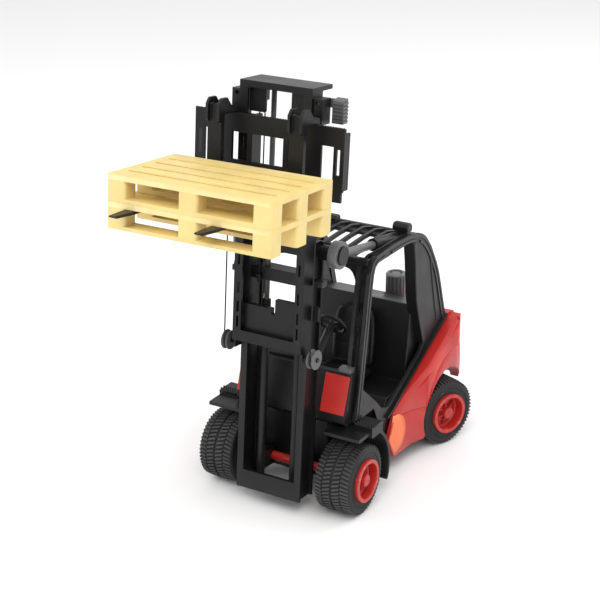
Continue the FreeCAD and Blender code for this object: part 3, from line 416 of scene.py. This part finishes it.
TYRE_OUT, TYRE_WIDE, CARCASS = 26.6, 28.5, 25.1
LUGS, LUG_TOP = 54, 0.72
SHOULDER, SHOULDER_DROP = 11.2, 0.35
SPOKES = 6


def wheel_place(joint, side):
    """The frame at a wheel's outer face, X outward."""
    out = Vector(joints[joint]["axis"]) * side
    up = Vector((0, 0, 1))
    return (Matrix.Translation(Vector(joints[joint]["pos_m"]))
            @ Matrix((out, up.cross(out), up)).transposed().to_4x4())


def lug(bm, angle, spread, near, far, skew):
    """One tread block between two places across the tyre, turned by skew from one edge to the other."""
    corners = []
    for radius, share in ((CARCASS - 0.5, 1.0), (TYRE_OUT, LUG_TOP)):
        ring = []
        for across, shift in ((near, -skew), (far, skew)):
            for way in ((-1, 1) if across == near else (1, -1)):
                turned = angle + shift + way * spread * share / 2
                inset = (1 - share) * 0.5 * (1 if across == near else -1)
                past = max(0, abs(across + TYRE_WIDE / 2) - SHOULDER)
                reach = radius - SHOULDER_DROP * past * (radius > CARCASS)
                ring.append((across + inset, reach * math.cos(turned), reach * math.sin(turned)))
        corners.append(ring)
    loft(bm, corners)


def make_tyre(bm):
    """A wide block-tread tyre: rounded shoulders, a ring on the sidewall and four rows of lugs."""
    half = TYRE_WIDE / 2
    profile = [(-0.8, 15.35), (0, 16.1), (0, 17.2), (0.0, 19.0), (-0.55, 19.6), (-0.55, 20.4), (0, 21.0),
               (0, 22.6), (-0.5, 24.0), (-1.4, 24.8), (-2.6, CARCASS)]
    back = [(-TYRE_WIDE - along, radius) for along, radius in reversed(profile)]
    turn(bm, profile + back, "X", 96)
    pitch = math.tau / LUGS
    for count in range(LUGS):
        angle = count * pitch
        lug(bm, angle, pitch * 0.72, -half - 1.0, -half - 6.6, 0.035)
        lug(bm, angle + pitch / 2, pitch * 0.72, -half + 6.6, -half + 1.0, 0.035)
        lug(bm, angle + pitch / 2, pitch * 0.66, -half - 7.6, -half - 13.3, -0.02)
        lug(bm, angle, pitch * 0.66, -half + 13.3, -half + 7.6, -0.02)


def make_rim_trim(bm):
    """The rolled lip of a rim and the stepped dish inside it."""
    turn(bm, [(-6.0, 13.5), (-3.0, 13.9), (-0.6, 14.2), (0.4, 14.5), (0.75, 15.1), (0.5, 15.7), (-0.2, 15.95),
              (-1.2, 15.5), (-6.0, 15.2)], "X", 64)
    turn(bm, [(-6.2, 7.0), (-5.1, 7.2), (-4.8, 7.6), (-4.9, 8.0), (-5.4, 8.2), (-6.2, 8.2)], "X", 64)
    turn(bm, [(-5.8, 11.6), (-4.9, 11.9), (-4.2, 13.0), (-3.6, 14.0), (-6.0, 14.0)], "X", 64)


def make_hub_cap(bm):
    """A domed hub cap with a stepped foot, and the spokes round it."""
    turn(bm, [(-6.0, 0), (-6.0, 5.0), (-4.0, 4.9), (-3.6, 4.5), (0.9, 4.3), (1.45, 3.9), (1.6, 3.3),
              (1.6, 2.2), (1.35, 2.0), (1.35, 0)], "X", 48)
    for count in range(SPOKES):
        angle = (count + 0.5) * math.tau / SPOKES
        reach = Vector((0, math.cos(angle), math.sin(angle)))
        side = Vector((0, -reach.z, reach.y)) * 0.55
        rings = []
        for spot, face in ((reach * 4.4, -2.2), (reach * 12.6, -5.0)):
            rings.append([Vector((x, 0, 0)) + spot + side * w
                          for x, w in ((-6, -1.2), (-6, 1.2), (face, 0.8), (face, -0.8))])
        loft(bm, rings)


for axle in ("front", "rear"):
    for name, side in SIDES.items():
        place = wheel_place(f"{axle}_wheel_{name}_spin", side)
        wheel = f"{axle}_wheel_{name}"
        piece(f"block_tyre_{axle}_{name}", wheel, RUBBER, make_tyre, place, [f"tyre_{axle}_{name}"], 0.25, 1)
        piece(f"rim_trim_{axle}_{name}", wheel, RIM_RED, make_rim_trim, place, round_by=0)
        piece(f"hub_cap_{axle}_{name}", wheel, RIM_RED, make_hub_cap, place, round_by=0.15)

# ---------------------------------------------------------------- pallets

PALLET_LONG, PALLET_DEEP, PALLET_HIGH = 119.5, 76.0, 17.4
DECK, SKID, GAP, BOARD_END = 3.5, 2.6, 2.9, 6.0
SKID_HALF, BLOCK_HALF = 6.5, 7
CORNER, GAP_CORNER = 2.2, 0.9
PALLET_LEVELS = {"pallet_lower": 226.1, "pallet_upper": 243.5}
PALLET_ACROSS, PALLET_ALONG, PALLET_TURN = 9.2, -116.6, 1.6


def make_pallet(bm):
    """Three skids, nine chamfered blocks and a deck of five boards joined at its ends."""
    half, depth = PALLET_LONG / 2, PALLET_DEEP / 2
    under = PALLET_HIGH - DECK
    slots = []
    for line in (-1.5, -0.5, 0.5, 1.5):
        middle = line * PALLET_DEEP / 5
        slots.append(oblong((BOARD_END - half, half - BOARD_END), (middle - GAP / 2, middle + GAP / 2),
                            GAP_CORNER, 3))
    # the grooves' walls take material slot 1, the dark brown painted shade
    slab(bm, "Z", under, PALLET_HIGH, oblong((-half, half), (-depth, depth), CORNER), *slots, hole_wall_slot=1)
    for row in (-1, 0, 1):
        middle = row * (depth - SKID_HALF)
        across = (middle - SKID_HALF, middle + SKID_HALF)
        slab(bm, "Z", 0, SKID, oblong((-half, half), across, CORNER))
        for column in (-1, 0, 1):
            centre = column * (half - BLOCK_HALF)
            slab(bm, "Z", SKID - 0.2, under + 0.2, oblong((centre - BLOCK_HALF, centre + BLOCK_HALF),
                                                          across, CORNER))


turn_about = Matrix.Rotation(math.radians(PALLET_TURN), 4, "Z")
for label, level in PALLET_LEVELS.items():
    place = MAST @ Matrix.Translation(mm(PALLET_ACROSS, PALLET_ALONG, level)) @ turn_about
    pallet = piece(f"board_{label}", label, PALLET, make_pallet, place, [label], 0.35, 2)
    # slot 1 is the dark brown painted shade on the deck grooves' walls
    pallet.data.materials.append(PALLET_GROOVE_SHADE)

# ---------------------------------------------------------------- cab

CAB_OUTLINE = [(9.5, 64), (15.5, 96), (29, 176, 8), (35, 182.4, 8), (72, 183), (92, 183, 40),
               (114, 177.5, 30), (127, 163, 30), (138, 145, 30), (146.5, 121), (154.5, 95.8), (125, 81.2),
               (93, 64.7), (64, 49.7), (54.8, 31), (54.8, 22), (46, 22), (44, 52), (38, 64)]
CAB_OPENING = [(21, 100), (33.2, 170, 6), (39, 176.4, 5), (93, 176.6, 6), (98.8, 170, 6), (103.5, 127),
               (118, 86, 8), (90, 69), (60, 56, 6), (50, 60, 6), (40, 70, 6), (19, 88, 4)]
ARCH = [(12.8, 66), (15.8, 84), (18.3, 98), (21.6, 118), (25, 138), (28.2, 158), (30.8, 171), (33.8, 177),
        (39, 179.9), (50, 180.4), (66, 180.6), (82, 180.4), (94, 179.2), (104, 176.4), (112, 172),
        (119.5, 165), (126, 156.5), (132, 147), (137, 137), (141, 126), (145, 114), (148.5, 104),
        (151.5, 96.4)]
ARCH_INNER = [38.4] * 7 + [39.5, 41.5, 43.3, 43.3, 43.3, 43.3, 43.3, 43.3, 43.3, 43.8, 44.3, 44.8, 45.2,
                           45.6, 46, 46]
PILLAR = [(97.6, 174.5), (100, 160), (101.6, 145), (103.9, 127), (108.5, 112), (113, 100), (117.6, 88)]


def band(bm, line, inner, outer, thick, groove=0.0, lines=()):
    """A bar swept along a line in the side view.

    inner is its inner x, one number or one for each point; groove is half the width of the groove in its
    flank; lines are the places of the grooves in its top, as shares of its width.
    """
    line = [Vector(point) for point in line]
    rings = []
    for index, point in enumerate(line):
        along = (line[min(index + 1, len(line) - 1)] - line[max(index - 1, 0)]).normalized()
        out = Vector((-along.y, along.x))
        near = inner[index] if isinstance(inner, (list, tuple)) else inner
        half = thick / 2
        section = [(near, -half), (outer, -half)]
        if groove:
            section += [(outer, -groove), (outer - 0.7, -groove * 0.7), (outer - 0.7, groove * 0.7),
                        (outer, groove)]
        section.append((outer, half))
        for spot in lines:
            x = near + (outer - near) * spot
            section += [(x + 0.55, half), (x + 0.35, half - 0.7), (x - 0.35, half - 0.7), (x - 0.55, half)]
        section.append((near, half))
        rings.append([(x, point.x + out.x * t, point.y + out.y * t) for x, t in section])
    loft(bm, rings)


def make_cab(bm):
    """One side of the open cab: a thin skin round the door opening."""
    slab(bm, "X", 46.2, 49.2, rounded(CAB_OUTLINE, 8), rounded(CAB_OPENING, 6))


def make_arch(bm):
    """The ribbed bar from the front pillar's foot over the roof to the tail."""
    band(bm, ARCH, ARCH_INNER, 50, 5.6, 1.0, (0.3, 0.68))


def make_pillar(bm):
    """The rear pillar's flange along the opening, and the rib behind it."""
    band(bm, PILLAR, 40.6, 50, 4.2)
    band(bm, [(123.5, 160), (127, 145), (130.5, 130), (135, 112), (139, 98)], 46.5, 49.9, 2.2)


def arch_slots(bm):
    """Two short slots in the arch's flank."""
    for near, far in (((50.8, 178.9), (60.5, 179.1)), ((98.5, 176.0), (106.5, 173.2))):
        low, high = Vector(near), Vector(far)
        out = Vector((low.y - high.y, high.x - low.x)).normalized() * 1.5
        slab(bm, "X", 48.2, 51, [low - out, high - out, high + out, low + out])


def make_lamp(bm):
    """A rounded roof lamp on a foot."""
    slab(bm, "X", 33.6, 46.4, rounded([(91, 183.4, 1), (99, 182.6, 1), (99.4, 187, 2.6), (97, 189.6, 2.2),
                                       (92.4, 189.6, 2.2), (90.6, 187, 1.6)]))
    slab(bm, "X", 37, 43, [(92, 180.5), (98, 180.5), (98, 184), (92, 184)])


for name, side in SIDES.items():
    place = side_place(side)
    piece(f"cab_skin_{name}", "truck", BLACK, make_cab, place, ["cab_frame"] if side > 0 else (), 0.5)
    piece(f"cab_arch_{name}", "truck", BLACK, make_arch, place, round_by=0.55, cuts=arch_slots, segments=3)
    piece(f"cab_pillar_{name}", "truck", BLACK, make_pillar, place, round_by=0.8, segments=3)
    piece(f"work_lamp_{name}", "truck", BLACK, make_lamp, place, ["work_lights"] if side > 0 else (), 1.2,
          segments=3)


def make_cab_bars(bm):
    """The two bars that tie the cab's sides under the roof, and the gussets at its front corners."""
    slab(bm, "X", -46.5, 46.5, rounded([(29.4, 176.6, 1.5), (35.4, 176.6, 1.5), (35.4, 181.4, 1.5),
                                        (29.8, 181.4, 2)]))
    slab(bm, "X", -46.5, 46.5, rounded([(103.6, 173.2, 1.5), (110.4, 172.4, 1.5), (110.4, 178, 2),
                                        (103.6, 179.2, 2)]))
    for side in (-1, 1):
        slab(bm, "Y", 30.5, 34.5, rounded([(side * 38.5, 150), (side * 38.5, 177), (side * 20, 177),
                                           (side * 20, 174.5, 2), (side * 33, 172, 12),
                                           (side * 36, 165, 10), (side * 36.4, 150)]))


def make_roof_box(bm):
    """A flat rounded box on the roof bars, right of the middle."""
    slab(bm, "X", -31, -13.5, rounded([(89, 182, 1), (98, 181.4, 1), (98.4, 184.6, 2), (96, 186.4, 2),
                                       (91, 186.6, 2), (88.8, 185, 1.6)]))


piece("cab_cross_bars", "truck", BLACK, make_cab_bars, round_by=0.6, segments=3)
piece("roof_box", "truck", BLACK, make_roof_box, round_by=0.9, segments=3)

# ---------------------------------------------------------------- side panels

ARCH_CENTRE, ARCH_RADIUS = Vector((136.5, 26.6)), 33.7
BROW = [((108.2, 43.5), 151), ((110.5, 49.5), 141), ((115.5, 57.5), 128), ((122.5, 65), 113),
        ((131, 70.2), 98), ((141, 72.9), 80), ((152, 73.8), 62), ((162, 74.2), 46), ((172, 74.4), 31)]
STICKER = Vector((64.8, 32.4))
STICKER_RADIUS, STICKER_STEPS = 15.8, 56


def skin_of(label):
    """A function giving how far out a side panel's outer face is at a place in the side view.

    It gives missing where the panel isn't.
    """
    mesh = nodes[label].data
    corners = [vertex.co for vertex in mesh.vertices]
    tree = BVHTree.FromPolygons(corners, [face.vertices for face in mesh.polygons])

    def reach(y, z, missing=None):
        start = TRUCK @ (Vector((90, y, z)) * MM)
        hit = tree.ray_cast(start, Vector((-1, 0, 0)))[0]
        return hit.x / MM if hit else missing
    return reach


def lines_on(reach, points, steps=10):
    """Points along a broken line in the side view, laid on the panel."""
    found = []
    for first, second in zip(points, points[1:]):
        for step in range(steps + 1):
            place = Vector(first).lerp(Vector(second), step / steps)
            out = reach(place.x, place.y)
            if out is not None and (not found or (Vector(found[-1][1:]) - place).length > 0.05):
                found.append((out, place.x, place.y))
    return found


def clipped(points, first, second):
    """A convex outline's part to the left of a line."""
    along = second - first
    kept = []
    for index, here in enumerate(points):
        before = points[index - 1]
        inside = along.x * (here.y - first.y) - along.y * (here.x - first.x) >= 0
        was = along.x * (before.y - first.y) - along.y * (before.x - first.x) >= 0
        if inside != was:
            step = here - before
            gap = (first.x - before.x) * along.y - (first.y - before.y) * along.x
            share = gap / (step.x * along.y - step.y * along.x)
            kept.append(before + step * share)
        if inside:
            kept.append(here)
    return kept


outward = skin_of("side_panel_left")


def panel_seams(bm):
    """What is cut out of a side panel: its fine joints, and a strip along its diagonal edge."""
    tube(bm, lines_on(outward, [(106.4, 76), (105.9, 58), (105.2, 42), (103.6, 22)]), 0.42, 6)
    tube(bm, lines_on(outward, [(66, 46.9), (85, 43.6), (104.8, 40.2)]), 0.36, 6)
    rings = []
    down = Vector((1, -2)).normalized()
    for spot in ((60, 47.4), (66, 50.5), (80, 57.8), (93, 64.5), (109, 72.8), (125, 81), (140, 88.5),
                 (158, 97.6)):
        edge = Vector(spot)
        line = edge + down * 6.5
        out = outward(line.x, line.y, 53)
        above = edge - down * 2
        rings.append([(out + 0.02, line.x, line.y), (out + 4, line.x, line.y), (out + 4, above.x, above.y),
                      (out - 2.6, above.x, above.y)])
    loft(bm, rings)


def make_brow(bm):
    """The raised brow over the rear wheel, from the crease to the arch's edge."""
    rings = []
    for crease, degrees in BROW:
        crease = Vector(crease)
        angle = math.radians(degrees)
        edge = ARCH_CENTRE + Vector((math.cos(angle), math.sin(angle))) * ARCH_RADIUS
        ring = []
        for share, proud in ((0, -0.8), (0, 0.02), (0.14, 0.75), (0.5, 1.0), (1, 0.8), (1, -0.8)):
            spot = crease.lerp(edge, share)
            ring.append((outward(spot.x, spot.y, 52) + proud, spot.x, spot.y))
        rings.append(ring)
    loft(bm, rings)


def make_sticker(bm):
    """A plain round sticker, cut off at the panel's front edge."""
    angles = [step * math.tau / STICKER_STEPS for step in range(STICKER_STEPS)]
    circle = [STICKER + Vector((math.cos(angle), math.sin(angle))) * STICKER_RADIUS for angle in angles]
    for first, second in (((63.5, 50.5), (56.3, 31.0)), ((56.3, 31.0), (64.4, 15.6)),
                          ((63.0, 15.2), (103, 15.2))):
        circle = clipped(circle, Vector(first), Vector(second))
    rings = []
    for share, proud in ((0.02, -0.3), (1.0, -0.3), (1.0, 0.1), (0.75, 0.14), (0.5, 0.14), (0.25, 0.14),
                         (0.02, 0.14)):
        rings.append([(outward(spot.x, spot.y, 52.6) + proud, spot.x, spot.y)
                      for spot in (STICKER.lerp(point, share) for point in circle)])
    loft(bm, rings)


def make_trim(bm):
    """The cab frame's thin edge that shows along a side panel's diagonal."""
    band(bm, [(56.6, 49), (65.5, 52.6), (94, 67.6), (126, 84.2), (155, 98.6)], 47, 51.6, 1.6)


STICKER_ORANGE = plastic("sticker_orange", (0.86, 0.16, 0.035), 0.35, grain=0.05, mottle=0.08,
                         wear=(0.9, 0.4, 0.25))
for name, side in SIDES.items():
    place = side_place(side)
    seams = bmesh.new()
    panel_seams(seams)
    body = welded(carved(welded(nodes[f"side_panel_{name}"].data), mesh_of(seams, place)))
    recast(f"side_panel_{name}", f"red_panel_{name}", "truck", RED, body, 0.5)
    piece(f"wheel_brow_{name}", "truck", RED, make_brow, place, round_by=0.3, angle=50)
    piece(f"panel_trim_{name}", "truck", BLACK, make_trim, place, round_by=0.3)
piece("round_sticker", "truck", STICKER_ORANGE, make_sticker, round_by=0)
recast("counterweight", "red_tail", "truck", RED, welded(nodes["counterweight"].data), 1.2)


# ---------------------------------------------------------------- cab interior

def shell(bm, stations, outline):
    """A closed form through stations; outline(station) gives each one's ring."""
    loft(bm, [outline(*station) for station in stations])


def make_cushion(bm):
    """The seat's cushion: a dished middle between two raised bolsters, with a rounded front."""
    def ring(y, low, top, half):
        return [(-half, y, low), (-half, y, top - 2.2), (-half + 1.2, y, top), (-half + 4.6, y, top + 0.2),
                (-half + 6.6, y, top - 1.6), (-6, y, top - 2), (6, y, top - 2), (half - 6.6, y, top - 1.6),
                (half - 4.6, y, top + 0.2), (half - 1.2, y, top), (half, y, top - 2.2), (half, y, low)]
    shell(bm, [(69.4, 62, 66.4, 17.6), (70.2, 61, 68.4, 18.6), (72.5, 60.7, 69.6, 19),
               (79.8, 60.9, 69.8, 19), (80.6, 60.9, 69.2, 19), (81.4, 60.9, 69.7, 19), (88, 61.2, 69.4, 19),
               (95, 61.5, 68.4, 19)], ring)


def make_backrest(bm):
    """The seat's back: a hollow between two bolsters, narrowing to a rounded head."""
    def ring(z, front, back, half):
        return [(-half, back, z), (-half, front + 2, z), (-half + 1, front + 0.2, z), (-half + 4, front, z),
                (-half + 6, front + 1.6, z), (-5, front + 2, z), (5, front + 2, z),
                (half - 6, front + 1.6, z), (half - 4, front, z), (half - 1, front + 0.2, z),
                (half, front + 2, z), (half, back, z)]
    shell(bm, [(69.6, 91, 97.2, 17.6), (72, 91.2, 97.6, 18), (82.6, 92.6, 99.4, 18), (83.4, 93.2, 99.5, 18),
               (84.2, 92.8, 99.7, 18), (95, 94.3, 101.4, 17.8), (104, 95.6, 103, 17), (109, 96.4, 102.8, 16),
               (111.8, 97.2, 102.6, 14.6), (112.9, 98.6, 102, 12.6)], ring)


def make_dash(bm):
    """The dashboard's hood, its two end blocks and its raised air slots."""
    slab(bm, "X", -34, 34, rounded([(14.2, 66), (14.2, 98, 1), (20, 98, 2), (27, 90, 2), (24, 66)]))
    for low, high in ((-33, -29), (29, 33)):
        slab(bm, "X", low, high, rounded([(14.6, 97), (14.6, 99.6, 1), (19, 99.6, 1), (20.6, 97)]))
    for count in range(6):
        x = 17 + count * 1.9
        slab(bm, "X", x, x + 0.9, rounded([(22.3, 93), (25, 92.4, 0.4), (27.6, 88.4, 0.4), (25, 87)]))


def make_console(bm):
    """The raised console that the control levers come out of, and their boots."""
    slab(bm, "X", -34, -4, rounded([(14.6, 96), (14.6, 103.4, 1.5), (20, 105, 2), (26.5, 101, 2),
                                    (27.5, 91), (20, 90)]))
    for across in (-26, -21, -16):
        turn(bm, [(102.5, 0), (102.5, 1.9), (104.6, 1.6), (106, 1.1), (106, 0)], "Z", 20, (across, 23, 0))


def make_gauge(bm):
    """A small ribbed box on top of the bulkhead."""
    slab(bm, "X", 34.5, 44.5, rounded([(11, 100.6), (11, 104.4, 0.8), (17.5, 104.4, 0.8), (17.5, 98),
                                       (14.3, 98), (14.3, 100.6)]))
    for count in range(5):
        x = 35.4 + count * 1.9
        slab(bm, "X", x, x + 0.9, [(10.6, 101), (10.6, 104), (11.4, 104), (11.4, 101)])


piece("moulded_cushion", "truck", BLACK, make_cushion, stands_for=["seat_cushion"], round_by=0, smooth=2)
piece("moulded_backrest", "truck", BLACK, make_backrest, stands_for=["seat_backrest"], round_by=0, smooth=2)
piece("dash_vents", "truck", BLACK, make_dash, round_by=0.3)
piece("lever_console", "truck", BLACK, make_console, round_by=0.5)
piece("cowl_gauge", "truck", GREY, make_gauge, round_by=0.25)

# ---------------------------------------------------------------- footsteps

def make_grip(bm):
    """Rows of grip studs on a footstep."""
    for row in range(4):
        for count in range(8):
            x = 50.8 + count * 1.9 + (row % 2) * 0.95
            turn(bm, [(65.2, 0), (65.2, 0.75), (65.75, 0.62), (66.05, 0.3), (66.1, 0)], "Z", 10,
                 (x, 7.4 + row * 1.7, 0))


for name, side in SIDES.items():
    piece(f"step_grip_{name}", "truck", BLACK, make_grip, side_place(side), round_by=0)

# ---------------------------------------------------------------- strings and pulleys

STRING_RADIUS, STRING_RINGS, BOW_STEPS = 0.5, 40, 14
THROUGH_ANCHOR, KNOT_ABOVE, KNOT_BELOW = 4, 5.2, 4.8


def bow(across, centre_y, centre_z, radius, to_angle):
    """Points along a string's turn round a pulley, from its rear to an angle in degrees."""
    points = []
    for step in range(BOW_STEPS + 1):
        angle = math.radians(to_angle * step / BOW_STEPS)
        points.append((across, centre_y + radius * math.cos(angle), centre_z + radius * math.sin(angle)))
    return points


def knot(bm, x, y, z):
    """A small stopper knot."""
    turn(bm, [(z - 1.6, 0), (z - 1.5, 0.8), (z - 0.6, 1.25), (z + 0.6, 1.2), (z + 1.4, 0.8), (z + 1.6, 0)],
         "Z", 12, (x, y, 0))


def mast_span(label):
    """The lowest and highest corner, in the mast's millimetres, of a pair of strings' left one."""
    points = [MAST.inverted() @ vertex.co / MM for vertex in nodes[label].data.vertices if vertex.co.x > 0]
    return [Vector([pick(point[axis] for point in points) for axis in range(3)]) for pick in (min, max)]


STRINGS = ("lower_string_rear", "lower_string_front", "upper_string_rear", "upper_string_front")
spans = {label: mast_span(label) for label in STRINGS}
places = {label: (low + high) / 2 for label, (low, high) in spans.items()}


def make_turn(bm, rear, front, height, to_angle):
    """The turns of a pair of strings round their pulleys."""
    middle = (places[rear].y + places[front].y) / 2
    for side in (-1, 1):
        line = bow(side * places[rear].x, middle, height, places[rear].y - middle, to_angle)
        tube(bm, line, STRING_RADIUS, 8)


def make_low_turn(bm):
    """The strings' turns under the lower pulleys."""
    make_turn(bm, "lower_string_rear", "lower_string_front", spans["lower_string_rear"][0].z, -180)


def make_high_turn(bm):
    """The strings' turns over the upper pulleys."""
    make_turn(bm, "upper_string_rear", "upper_string_front", spans["upper_string_rear"][1].z, 180)


def make_knots(bm, above, below):
    """The knots where strings end: above one anchor, below the other."""
    for side in (-1, 1):
        knot(bm, side * places[above].x, places[above].y, spans[above][1].z + KNOT_ABOVE)
        knot(bm, side * places[below].x, places[below].y, spans[below][0].z - KNOT_BELOW)


def make_rear_knots(bm):
    """The knots where strings end on the outer mast."""
    make_knots(bm, "lower_string_rear", "upper_string_rear")


def make_front_knots(bm):
    """The knots where strings end on the carriage."""
    make_knots(bm, "lower_string_front", "upper_string_front")


def stretched_string(label, from_top):
    """A pair of straight strings from a pulley to an anchor."""
    low, high = spans[label][0].z, spans[label][1].z
    start, end = (high, low - THROUGH_ANCHOR) if from_top else (low, high + THROUGH_ANCHOR)
    across, along = places[label].x, places[label].y
    bm = bmesh.new()
    for side in (-1, 1):
        tube(bm, [(side * across, along, start + (end - start) * step / STRING_RINGS)
                  for step in range(STRING_RINGS + 1)], STRING_RADIUS, 8, frame_up=(0, 1, 0))
    thing = drawn("pair_" + label, mesh_of(bm, MAST), CORD)
    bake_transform(thing)
    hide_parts(label)
    taken.add(label)


def make_guards(bm):
    """The two plates that cover the upper pulleys from the front."""
    for near, far in ((-23, -9.8), (9.8, 23)):
        slab(bm, "Y", -35.2, -33.4, rounded([(near, 287.4, 1.5), (far, 287.4, 1.5), (far, 305.8),
                                             (near, 305.8)]))


piece("pulley_guards", "inner_mast", BLACK, make_guards, MAST, round_by=0.3)
piece("string_turns_low", "inner_mast", CORD, make_low_turn, MAST, round_by=0)
piece("string_turns_high", "inner_mast", CORD, make_high_turn, MAST, round_by=0)
piece("string_knots_rear", "outer_mast", CORD, make_rear_knots, MAST, round_by=0)
piece("string_knots_front", "carriage", CORD, make_front_knots, MAST, round_by=0)
stretched_string("lower_string_rear", False)
stretched_string("lower_string_front", False)
stretched_string("upper_string_rear", True)
stretched_string("upper_string_front", True)

# ---------------------------------------------------------------- what stays from the frame

EDGES = {"engine_cover": 1.2, "front_cowl": 0.8, "lift_rams": 0.1, "lift_barrels": 0.3,
         "steering_pinion": 0.1, "steering_knob": 0.25}
REPAINTED = {"fork_left": BLACK, "fork_right": BLACK, "lift_barrels": BLACK, "steering_knob": LIGHT_GREY}
for label, node in nodes.items():
    paint(node, REPAINTED.get(label, FINISH[SLOTS[label]]))
    if label not in taken:
        weld = node.modifiers.new("join", "WELD")
        weld.merge_threshold = WELD
        soften(node, EDGES.get(label, 0.4))


# ---------------------------------------------------------------- floor, lights and camera

def make_floor():
    """A pale seamless floor."""
    bpy.ops.mesh.primitive_plane_add(size=30)
    floor = bpy.context.object
    floor.name = "floor"
    material = bpy.data.materials.new("pale_floor")
    material.use_nodes = True
    surface = material.node_tree.nodes["Principled BSDF"]
    surface.inputs["Base Color"].default_value = (0.9, 0.9, 0.9, 1)
    surface.inputs["Roughness"].default_value = 0.7
    surface.inputs["Specular IOR Level"].default_value = 0.1
    paint(floor, material)


def make_light(name, place, aim, size, power):
    """A soft square lamp that faces a point."""
    lamp = bpy.data.lights.new(name, "AREA")
    lamp.shape = "SQUARE"
    lamp.size = size
    lamp.energy = power
    holder = bpy.data.objects.new(name, lamp)
    holder.location = place
    holder.rotation_euler = (Vector(aim) - Vector(place)).to_track_quat("-Z", "Y").to_euler()
    bpy.context.scene.collection.objects.link(holder)


def make_world():
    """An even white surround."""
    world = bpy.data.worlds.new("studio")
    world.use_nodes = True
    world.node_tree.nodes["Background"].inputs["Color"].default_value = (1, 1, 1, 1)
    world.node_tree.nodes["Background"].inputs["Strength"].default_value = 0.85
    bpy.context.scene.world = world


AZIMUTH, ELEVATION, ROLL = math.radians(30.9), math.radians(21.72), math.radians(-0.13)
CAMERA_DISTANCE = 1.1245
CAMERA_AIM = (0.00756, 0.14184)
FOCAL = 90.96


def make_camera():
    """A long lens in front of the truck's left corner, a little above it."""
    back = Vector((math.sin(AZIMUTH) * math.cos(ELEVATION), -math.cos(AZIMUTH) * math.cos(ELEVATION),
                   math.sin(ELEVATION)))
    right = (-back).cross(Vector((0, 0, 1))).normalized()
    up = right.cross(-back)
    right, up = (right * math.cos(ROLL) + up * math.sin(ROLL), up * math.cos(ROLL) - right * math.sin(ROLL))
    centre = Vector((0, AXLE.y, 0)) + right * CAMERA_AIM[0] + up * CAMERA_AIM[1] + back * CAMERA_DISTANCE
    lens = bpy.data.cameras.new("camera")
    lens.sensor_width = 36
    lens.lens = FOCAL
    camera = bpy.data.objects.new("camera", lens)
    camera.matrix_world = Matrix.Translation(centre) @ Matrix((right, up, back)).transposed().to_4x4()
    bpy.context.scene.collection.objects.link(camera)
    bpy.context.scene.camera = camera


bpy.context.scene.view_settings.view_transform = "Standard"
make_floor()
make_world()
make_light("key", (0.5, -0.9, 1.5), (0, 0, 0.1), 1.2, 16)
make_light("left_fill", (-1.3, -0.6, 0.9), (0, 0, 0.12), 1.2, 8)
make_light("back_rim", (0.6, 1.2, 1.1), (0, 0, 0.15), 1.0, 8)
make_camera()
